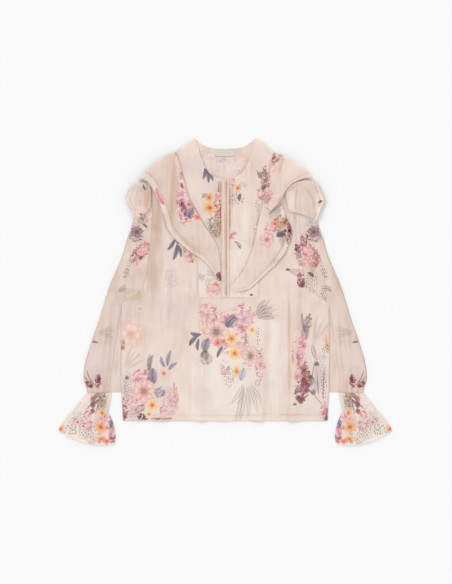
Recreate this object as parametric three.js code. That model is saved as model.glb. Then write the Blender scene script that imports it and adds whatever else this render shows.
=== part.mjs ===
// A sheer blouse laid flat on its back: body, bib, yokes, placket, V frills, cap frills,
// full sleeves, gathered wrist bands, flared cuffs and a blank neck label.
// Millimetres, +Z up. The origin is on the surface that the blouse lies on, under the middle
// of its outline; +X points to the right sleeve as seen and +Y to the neck.
import * as THREE from "three";

// Driving sizes
const CLOTH = 1.0; // wall of one layer
const SEAM_GAP = 0.6; // beside a seam
const LAYER_GAP = 0.4; // between layers that lie on each other
const HEM_Y = -295.5;
const SHOULDER_TIP_Y = 285;
const NECK_POINT = { x: 71, y: 352 }; // where neckline and shoulder meet
const BACK_NECK_Y = 329;
const FRONT_NECK_Y = 259;
const SLEEVE_HEAD_Y = 260;
const SLEEVE_END_Y = -231;
const ACROSS_TUBE = 6; // strips across a flat tube
const ACROSS_CUFF = 10;
const LABEL = { width: 44, height: 15, topInset: 1.5 };

// Heights of the layers above the surface, at their undersides
const BACK_TOP = CLOTH;
const FRONT_UNDER = BACK_TOP + LAYER_GAP;
const ON_FRONT = FRONT_UNDER + CLOTH + LAYER_GAP; // yokes and bib
const ON_YOKE = ON_FRONT + CLOTH + LAYER_GAP; // placket strips and the V frills' seam edge
const ON_SLEEVE = 5.4; // cap frills
const ON_CAP = 9.2; // V frills over the cap frills

// Half the body's width at each height, from the hem up the side and round the armhole
const BODY_SIDE = [
  { y: HEM_Y, half: 235 },
  { y: -260, half: 237 },
  { y: -210, half: 240 },
  { y: -160, half: 240 },
  { y: -110, half: 240 },
  { y: -65, half: 239.5 },
  { y: -26, half: 238 },
  { y: -14, half: 218 },
  { y: 5, half: 190 },
  { y: 37, half: 182 },
  { y: 69, half: 177 },
  { y: 100, half: 173 },
  { y: 131, half: 171 },
  { y: 155, half: 169 },
  { y: 182, half: 168 },
  { y: 209, half: 169 },
  { y: 235, half: 171 },
  { y: 260, half: 173 },
  { y: SHOULDER_TIP_Y, half: 175 },
];

// The top edge from the centre to the shoulder tip, as cut on the back and on the front
const BACK_TOP_EDGE = [
  { x: 0, y: BACK_NECK_Y },
  { x: 14, y: 330 },
  { x: 28, y: 331 },
  { x: 42, y: 334 },
  { x: 58, y: 343 },
  { ...NECK_POINT },
  { x: 93, y: 338 },
  { x: 113, y: 322 },
  { x: 150, y: 304 },
  { x: 175, y: SHOULDER_TIP_Y },
];
const FRONT_TOP_EDGE = [
  { x: 0, y: FRONT_NECK_Y },
  { x: 13, y: 260 },
  { x: 26, y: 264 },
  { x: 40, y: 277 },
  { x: 51, y: 295 },
  { x: 58, y: 317 },
  { x: 62, y: 337 },
  { ...NECK_POINT },
  { x: 93, y: 338 },
  { x: 113, y: 322 },
  { x: 150, y: 304 },
  { x: 175, y: SHOULDER_TIP_Y },
];

// Soft upright folds in the front: where each starts and ends, its height and half width
const FRONT_FOLDS = [
  { topX: -178, topY: 120, endX: -178, endY: -125, rise: 2.6, half: 34 },
  { topX: -132, topY: 55, endX: -140, endY: -100, rise: 2.2, half: 30 },
  { topX: -58, topY: -30, endX: -60, endY: -300, rise: 3.0, half: 32 },
  { topX: 84, topY: -45, endX: 82, endY: -300, rise: 2.6, half: 32 },
  { topX: 147, topY: -20, endX: 149, endY: -320, rise: 3.0, half: 34 },
  { topX: 198, topY: -35, endX: 208, endY: -290, rise: 2.4, half: 30 },
];

// Sleeve as laid: its outer edge and its height at the middle
const SLEEVE_OUTER = [
  { y: 258, x: 196, height: 4.2 },
  { y: 235, x: 205, height: 4.6 },
  { y: 200, x: 210, height: 4.8 },
  { y: 177, x: 209, height: 4.8 },
  { y: 147, x: 217, height: 4.8 },
  { y: 120, x: 226, height: 5.0 },
  { y: 85, x: 236, height: 5.2 },
  { y: 51, x: 250, height: 5.4 },
  { y: 16, x: 265, height: 5.6 },
  { y: -28, x: 279, height: 5.8 },
  { y: -64, x: 290, height: 5.9 },
  { y: -110, x: 306, height: 5.9 },
  { y: -156, x: 320, height: 5.9 },
  { y: -184, x: 325, height: 5.9 },
  { y: -202, x: 325, height: 5.9 },
  { y: -221, x: 319, height: 5.6 },
  { y: SLEEVE_END_Y, x: 316, height: 4.2 },
];

// Every other panel is a fan of ribs. A rib runs from its held edge through its middle to its
// free edge; held and free are the heights of the underside there.
const YOKE_LEFT = [
  { from: [-71, 352], mid: [-93, 338], to: [-113, 322] },
  { from: [-62, 336], mid: [-83, 314], to: [-104, 292] },
  { from: [-57, 314], mid: [-76, 290], to: [-96, 267] },
  { from: [-41, 279], mid: [-64, 252], to: [-85, 223] },
  { from: [-25, 265], mid: [-44, 227], to: [-65, 186] },
  { from: [-7, 258], mid: [-27, 198], to: [-44, 150] },
  { from: [-7, 212], mid: [-18, 166], to: [-28, 126] },
  { from: [-7, 154], mid: [-13, 131], to: [-19, 110] },
];
const YOKE_RIGHT = [
  { from: [71, 352], mid: [92, 338], to: [113, 322] },
  { from: [63, 334], mid: [84, 312], to: [104, 292] },
  { from: [57, 310], mid: [78, 286], to: [97, 262] },
  { from: [43, 281], mid: [67, 256], to: [91, 232] },
  { from: [27, 266], mid: [57, 233], to: [87, 202] },
  { from: [8, 259], mid: [41, 212], to: [76, 168] },
  { from: [8, 212], mid: [39, 172], to: [70, 133] },
  { from: [8, 154], mid: [34, 127], to: [60, 104] },
];
const RUFFLE_LEFT = [
  { from: [-114, 322], mid: [-156, 301], to: [-201, 258], held: ON_YOKE, free: ON_CAP },
  { from: [-104, 292], mid: [-139, 271], to: [-178, 251], held: ON_YOKE, free: ON_CAP },
  { from: [-94, 255], mid: [-125, 237], to: [-159, 221], held: ON_YOKE, free: ON_CAP },
  { from: [-82, 214], mid: [-113, 198], to: [-145, 186], held: ON_YOKE, free: 6.6 },
  { from: [-65, 183], mid: [-99, 161], to: [-132, 143], held: ON_YOKE, free: ON_YOKE },
  { from: [-47, 152], mid: [-76, 129], to: [-109, 115], held: ON_YOKE, free: ON_YOKE },
  { from: [-30, 126], mid: [-53, 106], to: [-79, 91], held: ON_YOKE, free: ON_YOKE },
  { from: [-19, 108], mid: [-33, 87], to: [-49, 71], held: ON_YOKE, free: ON_YOKE },
  { from: [-12, 69], mid: [-19, 57], to: [-28, 46], held: ON_YOKE, free: ON_YOKE },
  { from: [-10, 34], mid: [-13, 30], to: [-17, 25], held: ON_YOKE, free: ON_YOKE },
];
const RUFFLE_RIGHT_UPPER = [
  { from: [110, 319], mid: [155, 303], to: [202, 262], held: ON_YOKE, free: ON_CAP },
  { from: [104, 292], mid: [142, 276], to: [177, 260], held: 5.4, free: ON_CAP },
  { from: [97, 262], mid: [126, 251], to: [151, 247], held: 6.8, free: ON_CAP },
  { from: [93, 235], mid: [117, 228], to: [137, 230], held: 8.2, free: ON_CAP },
  { from: [90, 212], mid: [108, 205], to: [124, 207], held: 8.4, free: 8.8 },
  { from: [91, 194], mid: [98, 191], to: [106, 187], held: 8.4, free: 8.4 },
];
const RUFFLE_RIGHT_LOWER = [
  { from: [88, 212], mid: [108, 207], to: [129, 202], held: ON_YOKE, free: ON_YOKE },
  { from: [81, 186], mid: [110, 181], to: [138, 177], held: ON_YOKE, free: ON_YOKE },
  { from: [74, 156], mid: [114, 145], to: [153, 140], held: ON_YOKE, free: ON_YOKE },
  { from: [67, 122], mid: [108, 108], to: [144, 103], held: ON_YOKE, free: ON_YOKE },
  { from: [59, 90], mid: [91, 78], to: [124, 71], held: ON_YOKE, free: ON_YOKE },
  { from: [43, 55], mid: [68, 44], to: [91, 40], held: ON_YOKE, free: ON_YOKE },
  { from: [22, 25], mid: [41, 18], to: [57, 9], held: ON_YOKE, free: ON_YOKE },
  { from: [11.5, 12], mid: [17, 6], to: [22, -1], held: ON_YOKE, free: ON_YOKE },
];
const CAP_LEFT = [
  { from: [-173, 262], mid: [-191, 253], to: [-212, 245], held: ON_SLEEVE, free: ON_SLEEVE },
  { from: [-171, 237], mid: [-196, 230], to: [-223, 230], held: ON_SLEEVE, free: ON_SLEEVE },
  { from: [-170, 214], mid: [-198, 209], to: [-228, 212], held: ON_SLEEVE, free: ON_SLEEVE },
  { from: [-172, 196], mid: [-194, 191], to: [-218, 193], held: ON_SLEEVE, free: ON_SLEEVE },
  { from: [-178, 186], mid: [-195, 179], to: [-213, 179], held: ON_SLEEVE, free: ON_SLEEVE },
  { from: [-189, 179], mid: [-197, 171], to: [-205, 162], held: ON_SLEEVE, free: ON_SLEEVE },
];
const CAP_RIGHT = [
  { from: [147, 238], mid: [172, 247], to: [202, 248], held: ON_SLEEVE, free: ON_SLEEVE },
  { from: [142, 223], mid: [179, 223], to: [219, 228], held: ON_SLEEVE, free: ON_SLEEVE },
  { from: [141, 205], mid: [181, 203], to: [229, 210], held: ON_SLEEVE, free: ON_SLEEVE },
  { from: [144, 187], mid: [181, 188], to: [220, 188], held: ON_SLEEVE, free: ON_SLEEVE },
  { from: [158, 183], mid: [183, 176], to: [210, 162], held: ON_SLEEVE, free: ON_SLEEVE },
];
const BIB = [
  { from: [-65, 98], mid: [7, 98], to: [80, 98] },
  { from: [-64, 43], mid: [7, 43], to: [78, 43] },
  { from: [-63, -12], mid: [6, -12], to: [76, -12] },
];
const PLACKET_OVER = [
  { from: [-9, 258], mid: [-3, 258], to: [3, 258] },
  { from: [-9, -10], mid: [-3, -10], to: [3, -10] },
];
const PLACKET_UNDER = [
  { from: [3.6, 258], mid: [6.5, 258], to: [9.4, 258] },
  { from: [3.6, -9], mid: [6.5, -9], to: [9.4, -9] },
];
// Tubes laid flat; height is the top of the upper wall in the middle of the rib
const WRIST_BAND = [
  { from: [317, -231.4], mid: [289.5, -231.4], to: [262, -231.4], height: 4.6 },
  { from: [326, -243], mid: [295, -249], to: [265, -254], height: 4.8 },
  { from: [335, -253], mid: [302, -264.5], to: [269, -276], height: 4.8 },
];
const CUFF_FLOUNCE = [
  { from: [335, -253.5], mid: [302, -265], to: [269, -276.5], height: 4.8 },
  { from: [352, -274], mid: [308, -284], to: [262, -290], height: 5.2 },
  { from: [369, -294], mid: [313, -307], to: [256, -308], height: 5.6 },
  { from: [382, -314], mid: [317, -329], to: [252, -329], height: 5.8 },
  { from: [381, -321], mid: [318, -346.5], to: [255, -350], height: 5.8 },
];
const EDGE_HEIGHT = 2.9; // a flat tube's height at its two folded edges

// Rolls and gathers in the frills and cuffs, across each rib. A frill's roll is this much lower
// at its last rib than at its first.
const ROLL_DROP = 0.7;
const LEFT_ROLL = { rise: 2.0, at: 0.5, half: 0.5 };
const UPPER_ROLL = { ...LEFT_ROLL, rise: 1.2 };
const LOWER_ROLL = { ...LEFT_ROLL, rise: 1.0 };
const CAP_WAVES = { rise: 1.6, count: 2 };
const CUFF_FLUTES = { rise: 1.2, count: 5 };
const NO_FLUTES = { rise: 0, count: 0 };
const FOLD_FADE = 0.3; // share of a front fold's length over which it rises from the cloth

// A smooth bump of height 1 that is 0 at distance half and beyond
function bump(distance, half) {
  if (Math.abs(distance) >= half) {
    return 0;
  }
  return 0.5 + 0.5 * Math.cos((Math.PI * distance) / half);
}

// Straight-line reading of one column of a table at a value of another
function readTable(table, key, at, column) {
  const rising = table[0][key] < table[table.length - 1][key];
  const rows = rising ? table : [...table].reverse();
  const last = rows.length - 1;
  if (at <= rows[0][key]) {
    return rows[0][column];
  }
  for (let i = 0; i < last; i += 1) {
    const [low, high] = [rows[i], rows[i + 1]];
    if (at <= high[key]) {
      const share = (at - low[key]) / (high[key] - low[key]);
      return low[column] + share * (high[column] - low[column]);
    }
  }
  return rows[last][column];
}

// How far the front stands up in its folds at a place
function frontRise(x, y) {
  let rise = 0;
  for (const fold of FRONT_FOLDS) {
    const share = (y - fold.topY) / (fold.endY - fold.topY);
    if (share <= 0 || share >= 1) {
      continue;
    }
    const middle = fold.topX + share * (fold.endX - fold.topX);
    const start = share < FOLD_FADE ? bump(FOLD_FADE - share, FOLD_FADE) : 1;
    const runsToHem = fold.endY <= HEM_Y;
    const pastFlat = share - (1 - FOLD_FADE);
    const end = !runsToHem && pastFlat > 0 ? bump(pastFlat, FOLD_FADE) : 1;
    rise += fold.rise * start * end * bump(x - middle, fold.half);
  }
  return rise;
}

// Closed mesh from shared vertices and quads, wound so that its faces point out
function solidFrom(vertices, quads) {
  const triangles = [];
  for (const [a, b, c, d] of quads) {
    triangles.push([a, b, c], [a, c, d]);
  }
  let volume = 0;
  for (const [a, b, c] of triangles) {
    const [p, q, r] = [vertices[a], vertices[b], vertices[c]];
    volume += p[0] * (q[1] * r[2] - q[2] * r[1]);
    volume += p[1] * (q[2] * r[0] - q[0] * r[2]);
    volume += p[2] * (q[0] * r[1] - q[1] * r[0]);
  }
  const index = volume > 0 ? triangles : triangles.map(([a, b, c]) => [a, c, b]);
  const geometry = new THREE.BufferGeometry();
  geometry.setAttribute("position", new THREE.Float32BufferAttribute(vertices.flat(), 3));
  geometry.setIndex(index.flat());
  geometry.computeVertexNormals();
  return geometry;
}

// One layer of cloth: a grid of places, each with the heights of its underside and top
function sheetSolid(grid) {
  const [rows, columns] = [grid.length, grid[0].length];
  const vertices = [];
  for (const side of ["under", "top"]) {
    for (const row of grid) {
      for (const place of row) {
        vertices.push([place.x, place.y, place[side]]);
      }
    }
  }
  const under = (i, j) => i * columns + j;
  const top = (i, j) => rows * columns + under(i, j);
  const quads = [];
  for (let i = 0; i + 1 < rows; i += 1) {
    for (let j = 0; j + 1 < columns; j += 1) {
      quads.push([top(i, j), top(i, j + 1), top(i + 1, j + 1), top(i + 1, j)]);
      quads.push([under(i, j), under(i + 1, j), under(i + 1, j + 1), under(i, j + 1)]);
    }
    quads.push([under(i, 0), top(i, 0), top(i + 1, 0), under(i + 1, 0)]);
    const last = columns - 1;
    quads.push([under(i + 1, last), top(i + 1, last), top(i, last), under(i, last)]);
  }
  for (let j = 0; j + 1 < columns; j += 1) {
    const last = rows - 1;
    quads.push([under(0, j + 1), top(0, j + 1), top(0, j), under(0, j)]);
    quads.push([under(last, j), top(last, j), top(last, j + 1), under(last, j + 1)]);
  }
  return solidFrom(vertices, quads);
}

// A tube laid flat, open at both ends: lower wall on the surface, upper wall at each place's top
function tubeSolid(grid) {
  const rings = grid.map((row) => {
    const last = row.length - 1;
    const across = Math.hypot(row[last].x - row[0].x, row[last].y - row[0].y);
    const step = [
      ((row[last].x - row[0].x) / across) * CLOTH,
      ((row[last].y - row[0].y) / across) * CLOTH,
    ];
    const inset = (j) => (j === 0 ? 1 : j === last ? -1 : 0);
    const outer = [];
    const inner = [];
    const addPlace = (j, z, innerZ) => {
      const place = row[j];
      outer.push([place.x, place.y, z]);
      inner.push([place.x + inset(j) * step[0], place.y + inset(j) * step[1], innerZ]);
    };
    for (let j = 0; j <= last; j += 1) {
      addPlace(j, 0, CLOTH);
    }
    for (let j = last; j >= 0; j -= 1) {
      addPlace(j, row[j].top, row[j].top - CLOTH);
    }
    return { outer, inner };
  });
  const around = rings[0].outer.length;
  const vertices = [];
  for (const wall of ["outer", "inner"]) {
    for (const ring of rings) {
      vertices.push(...ring[wall]);
    }
  }
  const outside = (i, k) => i * around + (k % around);
  const inside = (i, k) => rings.length * around + outside(i, k);
  const quads = [];
  for (let k = 0; k < around; k += 1) {
    for (let i = 0; i + 1 < rings.length; i += 1) {
      quads.push([outside(i, k), outside(i, k + 1), outside(i + 1, k + 1), outside(i + 1, k)]);
      quads.push([inside(i, k), inside(i + 1, k), inside(i + 1, k + 1), inside(i, k + 1)]);
    }
    const last = rings.length - 1;
    quads.push([inside(0, k), inside(0, k + 1), outside(0, k + 1), outside(0, k)]);
    quads.push([outside(last, k), outside(last, k + 1), inside(last, k + 1), inside(last, k)]);
  }
  return solidFrom(vertices, quads);
}

// Stations across the body: the top edge's points on both sides of the centre
function stationsAcross(edge) {
  const right = edge.map((point) => point.x);
  const left = right.slice(1).reverse();
  return [...left.map((x) => -x), ...right];
}

// Places of a body panel: across by share of width, up by share of the side's height
function bodyGrid(edge, heights) {
  const tipHalf = edge[edge.length - 1].x;
  const across = stationsAcross(edge);
  return BODY_SIDE.map((side) => {
    const up = (side.y - HEM_Y) / (SHOULDER_TIP_Y - HEM_Y);
    return across.map((x) => {
      const topY = readTable(edge, "x", Math.abs(x), "y");
      const place = { x: (x / tipHalf) * side.half, y: HEM_Y + up * (topY - HEM_Y) };
      return { ...place, ...heights(place.x, place.y) };
    });
  });
}

// The smooth line through one end or the middle of all of a panel's ribs
function ribLine(ribs, end) {
  const points = ribs.map((rib) => new THREE.Vector3(rib[end][0], rib[end][1], 0));
  return new THREE.CatmullRomCurve3(points, false, "centripetal");
}

// Places of a ribbed panel: rows of ribs, each a parabola through its three points
function ribGrid(ribs, rows, columns, heights) {
  const lines = ["from", "mid", "to"].map((end) => ribLine(ribs, end));
  const grid = [];
  for (let i = 0; i <= rows; i += 1) {
    const along = i / rows;
    const [a, b, c] = lines.map((line) => line.getPoint(along));
    const spot = along * (ribs.length - 1);
    const before = Math.min(Math.floor(spot), ribs.length - 2);
    const [low, high] = [ribs[before], ribs[before + 1]];
    const between = (column) => THREE.MathUtils.lerp(low[column], high[column], spot - before);
    const row = [];
    for (let j = 0; j <= columns; j += 1) {
      const s = j / columns;
      const weights = [(1 - s) * (1 - 2 * s), 4 * s * (1 - s), s * (2 * s - 1)];
      const x = a.x * weights[0] + b.x * weights[1] + c.x * weights[2];
      const y = a.y * weights[0] + b.y * weights[1] + c.y * weights[2];
      row.push({ x, y, ...heights({ s, along, between, x, y }) });
    }
    grid.push(row);
  }
  return grid;
}

// A layer one cloth thick with its underside at a height
function layerAt(under) {
  return { under, top: under + CLOTH };
}

function mirrored(ribs) {
  const flip = ([x, y]) => [-x, y];
  return ribs.map((rib) => ({
    ...rib,
    from: flip(rib.from),
    mid: flip(rib.mid),
    to: flip(rib.to),
  }));
}

function frillHeights(roll) {
  return ({ s, along, between }) => {
    const hang = THREE.MathUtils.lerp(between("held"), between("free"), s);
    const fade = 1 - along * ROLL_DROP;
    return layerAt(hang + roll.rise * fade * bump(s - roll.at, roll.half));
  };
}

function capHeights({ s, along, between }) {
  const hang = THREE.MathUtils.lerp(between("held"), between("free"), s);
  const wave = 0.5 - 0.5 * Math.cos(2 * Math.PI * CAP_WAVES.count * along);
  return layerAt(hang + CAP_WAVES.rise * wave * Math.sin((Math.PI / 2) * s));
}

function tubeTop(s, height, flutes) {
  const swell = Math.sqrt(Math.sin(Math.PI * s));
  const ripple = flutes.rise * Math.sin(Math.PI * flutes.count * s) ** 2;
  return EDGE_HEIGHT + (height - EDGE_HEIGHT - flutes.rise) * swell + ripple * swell;
}

// Sleeve rows share the body's stations, so that the armhole seam keeps one even gap
function sleeveGrid(side) {
  const inBody = BODY_SIDE.map((row) => row.y).filter(
    (y) => y > SLEEVE_END_Y && y <= SLEEVE_HEAD_Y,
  );
  return [SLEEVE_END_Y, ...inBody].map((y) => {
    const inner = readTable(BODY_SIDE, "y", y, "half") + SEAM_GAP;
    const outer = readTable(SLEEVE_OUTER, "y", y, "x");
    const height = readTable(SLEEVE_OUTER, "y", y, "height");
    const row = [];
    for (let j = 0; j <= ACROSS_TUBE; j += 1) {
      const s = j / ACROSS_TUBE;
      const x = side * THREE.MathUtils.lerp(outer, inner, s);
      row.push({ x, y, top: tubeTop(s, height, NO_FLUTES) });
    }
    return row;
  });
}

function labelSolid() {
  const top = BACK_NECK_Y - LABEL.topInset;
  const rib = (y) => ({ from: [-LABEL.width / 2, y], mid: [0, y], to: [LABEL.width / 2, y] });
  return sheetSolid(
    ribGrid([rib(top), rib(top - LABEL.height)], 1, 2, () => layerAt(BACK_TOP + LAYER_GAP)),
  );
}

const CLOTH_LOOKS = {
  chiffon: { color: 0xe6d3c5, roughness: 0.8 },
  chiffonPlain: { color: 0xe9d8ca, roughness: 0.8 },
  labelTape: { color: 0xf4efe6, roughness: 0.6 },
};

const blouse = new THREE.Group();

function addPiece(name, geometry, look) {
  const { color, roughness } = CLOTH_LOOKS[look];
  const material = new THREE.MeshStandardMaterial({ color, roughness, metalness: 0 });
  const piece = new THREE.Mesh(geometry, material);
  piece.name = name;
  blouse.add(piece);
}

function addBody() {
  const back = bodyGrid(BACK_TOP_EDGE, () => layerAt(0));
  const front = bodyGrid(FRONT_TOP_EDGE, (x, y) => layerAt(FRONT_UNDER + frontRise(x, y)));
  addPiece("body_back", sheetSolid(back), "chiffon");
  addPiece("body_front", sheetSolid(front), "chiffon");
  addPiece("label", labelSolid(), "labelTape");
}

function addChestLayers() {
  const onFront = () => layerAt(ON_FRONT);
  const onYoke = () => layerAt(ON_YOKE);
  addPiece("bib", sheetSolid(ribGrid(BIB, 6, 8, onFront)), "chiffon");
  addPiece("yoke_left", sheetSolid(ribGrid(YOKE_LEFT, 14, 4, onFront)), "chiffonPlain");
  addPiece("yoke_right", sheetSolid(ribGrid(YOKE_RIGHT, 14, 4, onFront)), "chiffonPlain");
  addPiece("placket_over", sheetSolid(ribGrid(PLACKET_OVER, 8, 2, onYoke)), "chiffonPlain");
  addPiece("placket_under", sheetSolid(ribGrid(PLACKET_UNDER, 8, 2, onYoke)), "chiffonPlain");
}

function addFrills() {
  const left = ribGrid(RUFFLE_LEFT, 18, 7, frillHeights(LEFT_ROLL));
  const upper = ribGrid(RUFFLE_RIGHT_UPPER, 10, 7, frillHeights(UPPER_ROLL));
  const lower = ribGrid(RUFFLE_RIGHT_LOWER, 14, 7, frillHeights(LOWER_ROLL));
  addPiece("ruffle_left", sheetSolid(left), "chiffonPlain");
  addPiece("ruffle_right_upper", sheetSolid(upper), "chiffonPlain");
  addPiece("ruffle_right_lower", sheetSolid(lower), "chiffonPlain");
  addPiece("cap_left", sheetSolid(ribGrid(CAP_LEFT, 12, 5, capHeights)), "chiffonPlain");
  addPiece("cap_right", sheetSolid(ribGrid(CAP_RIGHT, 12, 6, capHeights)), "chiffonPlain");
}

function addSleeve(name, side) {
  const band = side > 0 ? WRIST_BAND : mirrored(WRIST_BAND);
  const cuff = side > 0 ? CUFF_FLOUNCE : mirrored(CUFF_FLOUNCE);
  const topWith = (flutes) => ({ s, between }) => ({ top: tubeTop(s, between("height"), flutes) });
  const bandGrid = ribGrid(band, 4, ACROSS_TUBE, topWith(NO_FLUTES));
  const cuffGrid = ribGrid(cuff, 6, ACROSS_CUFF, topWith(CUFF_FLUTES));
  addPiece(`sleeve_${name}`, tubeSolid(sleeveGrid(side)), "chiffon");
  addPiece(`wrist_band_${name}`, tubeSolid(bandGrid), "chiffonPlain");
  addPiece(`cuff_flounce_${name}`, tubeSolid(cuffGrid), "chiffon");
}

addBody();
addChestLayers();
addFrills();
addSleeve("left", -1);
addSleeve("right", 1);

export default blouse;
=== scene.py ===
"""A sheer printed blouse laid flat on its back: body, bib, yokes, placket, V frills, cap frills,
full sleeves, gathered wrist bands, flared cuffs and a blank neck label.

Metres, in the row frame: +X to the right sleeve as seen, +Y to the neck, +Z up. Tables give
places on the cloth in millimetres.
"""

import logging
import math
from collections.abc import Callable, Sequence
from dataclasses import dataclass, field
from enum import Enum
from functools import partial
from typing import ClassVar

import bpy
import numpy as np
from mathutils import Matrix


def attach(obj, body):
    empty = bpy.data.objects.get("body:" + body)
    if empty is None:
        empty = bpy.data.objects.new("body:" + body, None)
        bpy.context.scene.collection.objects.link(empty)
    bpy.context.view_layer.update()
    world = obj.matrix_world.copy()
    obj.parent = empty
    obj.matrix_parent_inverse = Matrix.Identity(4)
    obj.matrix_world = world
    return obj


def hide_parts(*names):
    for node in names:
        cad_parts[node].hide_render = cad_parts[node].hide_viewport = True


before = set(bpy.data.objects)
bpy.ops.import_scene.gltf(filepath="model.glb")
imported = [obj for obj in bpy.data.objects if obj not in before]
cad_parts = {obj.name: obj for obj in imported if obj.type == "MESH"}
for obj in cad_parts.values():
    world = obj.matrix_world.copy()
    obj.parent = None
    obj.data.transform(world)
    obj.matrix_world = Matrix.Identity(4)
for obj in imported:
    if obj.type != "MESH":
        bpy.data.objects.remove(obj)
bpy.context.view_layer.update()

logging.basicConfig(level=logging.INFO, format="%(message)s")
log = logging.getLogger("blouse")

MM = 0.001
BODY = "root"
PRINT_MAP = "Print"
# How gathered the cloth is, with painted shade and light added in, stored by vertex
GATHER_AND_SHADE = "Gather"
PLAIN, TAPE = "Plain chiffon", "Woven satin tape"
THREAD, TABLETOP = "Polyester sewing thread", "Painted tabletop"
PRINTED_SLOT, PLAIN_SLOT = "printed_chiffon", "plain_chiffon"

# The photograph's frame, and the real size of one of its pixels.
FRAME_PIXELS = (452, 584)
PIXEL_MM = 2.3
CAMERA_X_MM = 1.7
SENSOR_MM = 36.0

# Cloth that stands steeply shows more of its threads, as if it were thicker.
# It is also painted darker: painted shade on the sides of folds, from how steep they stand.
STEEP_SHADE_SHARE = 0.22
STEEP_SHADE_LIMIT = 0.8
LEAST_UP = 0.1

# No strip is cut narrower than this, because its edges are turned in, and a cut's rectangle is
# at least this much larger than the cloth in it.
NARROWEST_CUT = 0.0105
CUT_SPARE = 1.01

Grid = np.ndarray

# Node kinds and settings that come back often
MATH, VECTOR, MIX, RANGE, NOISE, CELLS = (
    f"ShaderNode{kind}"
    for kind in ("Math", "VectorMath", "Mix", "MapRange", "TexNoise", "TexVoronoi")
)
PLUS, MINUS, TIMES, OVER, MOST, POWER, SIZE_OF, TIMES_PLUS, LENGTH, SINE = (
    {"operation": word}
    for word in ("ADD", "SUBTRACT", "MULTIPLY", "DIVIDE", "MAXIMUM", "POWER", "ABSOLUTE",
                 "MULTIPLY_ADD", "LENGTH", "SINE")
)
SOFT = {"interpolation_type": "SMOOTHSTEP"}
COLOURS = {"data_type": "RGBA"}
FLAT = {"noise_dimensions": "2D"}


def linear(hex_code: str) -> tuple[float, float, float, float]:
    """Turns an sRGB hex colour into a linear one.

    Args:
        hex_code: six hex digits.

    Returns:
        Linear red, green, blue and an alpha of 1.
    """
    parts = [int(hex_code[i : i + 2], 16) / 255 for i in (0, 2, 4)]
    line = [c / 12.92 if c <= 0.04045 else ((c + 0.055) / 1.055) ** 2.4 for c in parts]
    return (*line, 1.0)


def add_node(
    tree: bpy.types.NodeTree,
    kind: str,
    settings: dict[str, object] | None = None,
    *values: object,
    **inputs: object,
) -> bpy.types.bpy_prop_collection:
    """Adds a node with its settings and links.

    Args:
        tree: the node tree.
        kind: the node's type name.
        settings: the node's own properties.
        values: values or output sockets for its first inputs, in order.
        inputs: the same for other inputs, keyed by name with _ for a space, or by _ and number.

    Returns:
        The node's outputs.
    """
    node = tree.nodes.new(kind)
    for name, value in (settings or {}).items():
        setattr(node, name, value)
    keys = [int(key[1:]) if key[1:].isdigit() else key.replace("_", " ") for key in inputs]
    named = zip((node.inputs[key] for key in keys), inputs.values())
    for socket, value in (*zip(node.inputs, values), *named):
        if isinstance(value, bpy.types.NodeSocket):
            tree.links.new(value, socket)
        else:
            socket.default_value = value
    return node.outputs


def spline(points: Sequence[Sequence[float]], count: int) -> Grid:
    """Samples a smooth line through a table's rows, evenly by row.

    Args:
        points: the table, one row for each point.
        count: how many samples.

    Returns:
        The samples, one row each.
    """
    table = np.asarray(points, float)
    padded = np.vstack([2 * table[0] - table[1], table, 2 * table[-1] - table[-2]])
    at = np.linspace(0, len(table) - 1, count)
    cell = np.minimum(at.astype(int), len(table) - 2)
    t = (at - cell)[:, None]
    a, b, c, d = (padded[cell + k] for k in range(4))
    return b + 0.5 * t * (c - a + t * (2 * a - 5 * b + 4 * c - d + t * (3 * (b - c) + d - a)))


def even(line: Grid, step: float) -> Grid:
    """Resamples a finely sampled line at steps of about the same length.

    Args:
        line: the samples, one row each.
        step: the length of a step.

    Returns:
        The new samples.
    """
    runs = np.linalg.norm(np.diff(line[:, :2], axis=0), axis=1)
    along = np.concatenate([[0], np.cumsum(runs)])
    at = np.linspace(0, along[-1], max(2, round(along[-1] / step)) + 1)
    return np.stack([np.interp(at, along, line[:, k]) for k in range(line.shape[1])], axis=1)


def bump(distance: Grid, half: float | Grid) -> Grid:
    """A smooth hill of height 1 at 0, and 0 from half outwards."""
    share = np.clip(np.abs(distance) / half, 0, 1)
    return 0.5 + 0.5 * np.cos(np.pi * share)


@dataclass(frozen=True)
class Fold:
    """A soft ridge, or a trough where rise is negative, between two places, in millimetres."""

    start: tuple[float, float]
    end: tuple[float, float]
    rise: float
    half: float
    bend: float = 0.0
    lean: float = 0.0
    fade: float = 0.3
    open_end: bool = False

    def height(self, x: Grid, y: Grid) -> Grid:
        """Height of the fold over places.

        Args:
            x: places across, in millimetres.
            y: places up, in millimetres.

        Returns:
            The fold's height there, in millimetres.
        """
        run = np.subtract(self.end, self.start)
        length = float(np.hypot(*run))
        way = run / length
        dx, dy = x - self.start[0], y - self.start[1]
        share = (dx * way[0] + dy * way[1]) / length
        inside = np.clip(share, 0, 1)
        side = dx * -way[1] + dy * way[0] - self.bend * np.sin(np.pi * inside)
        width = self.half * np.where(side > 0, 1 + self.lean, 1 - self.lean)
        ends = np.clip(share / self.fade, 0, 1)
        if not self.open_end:
            ends = ends * np.clip((1 - share) / self.fade, 0, 1)
        return self.rise * bump(side, width) * ends**2 * (3 - 2 * ends)


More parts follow.
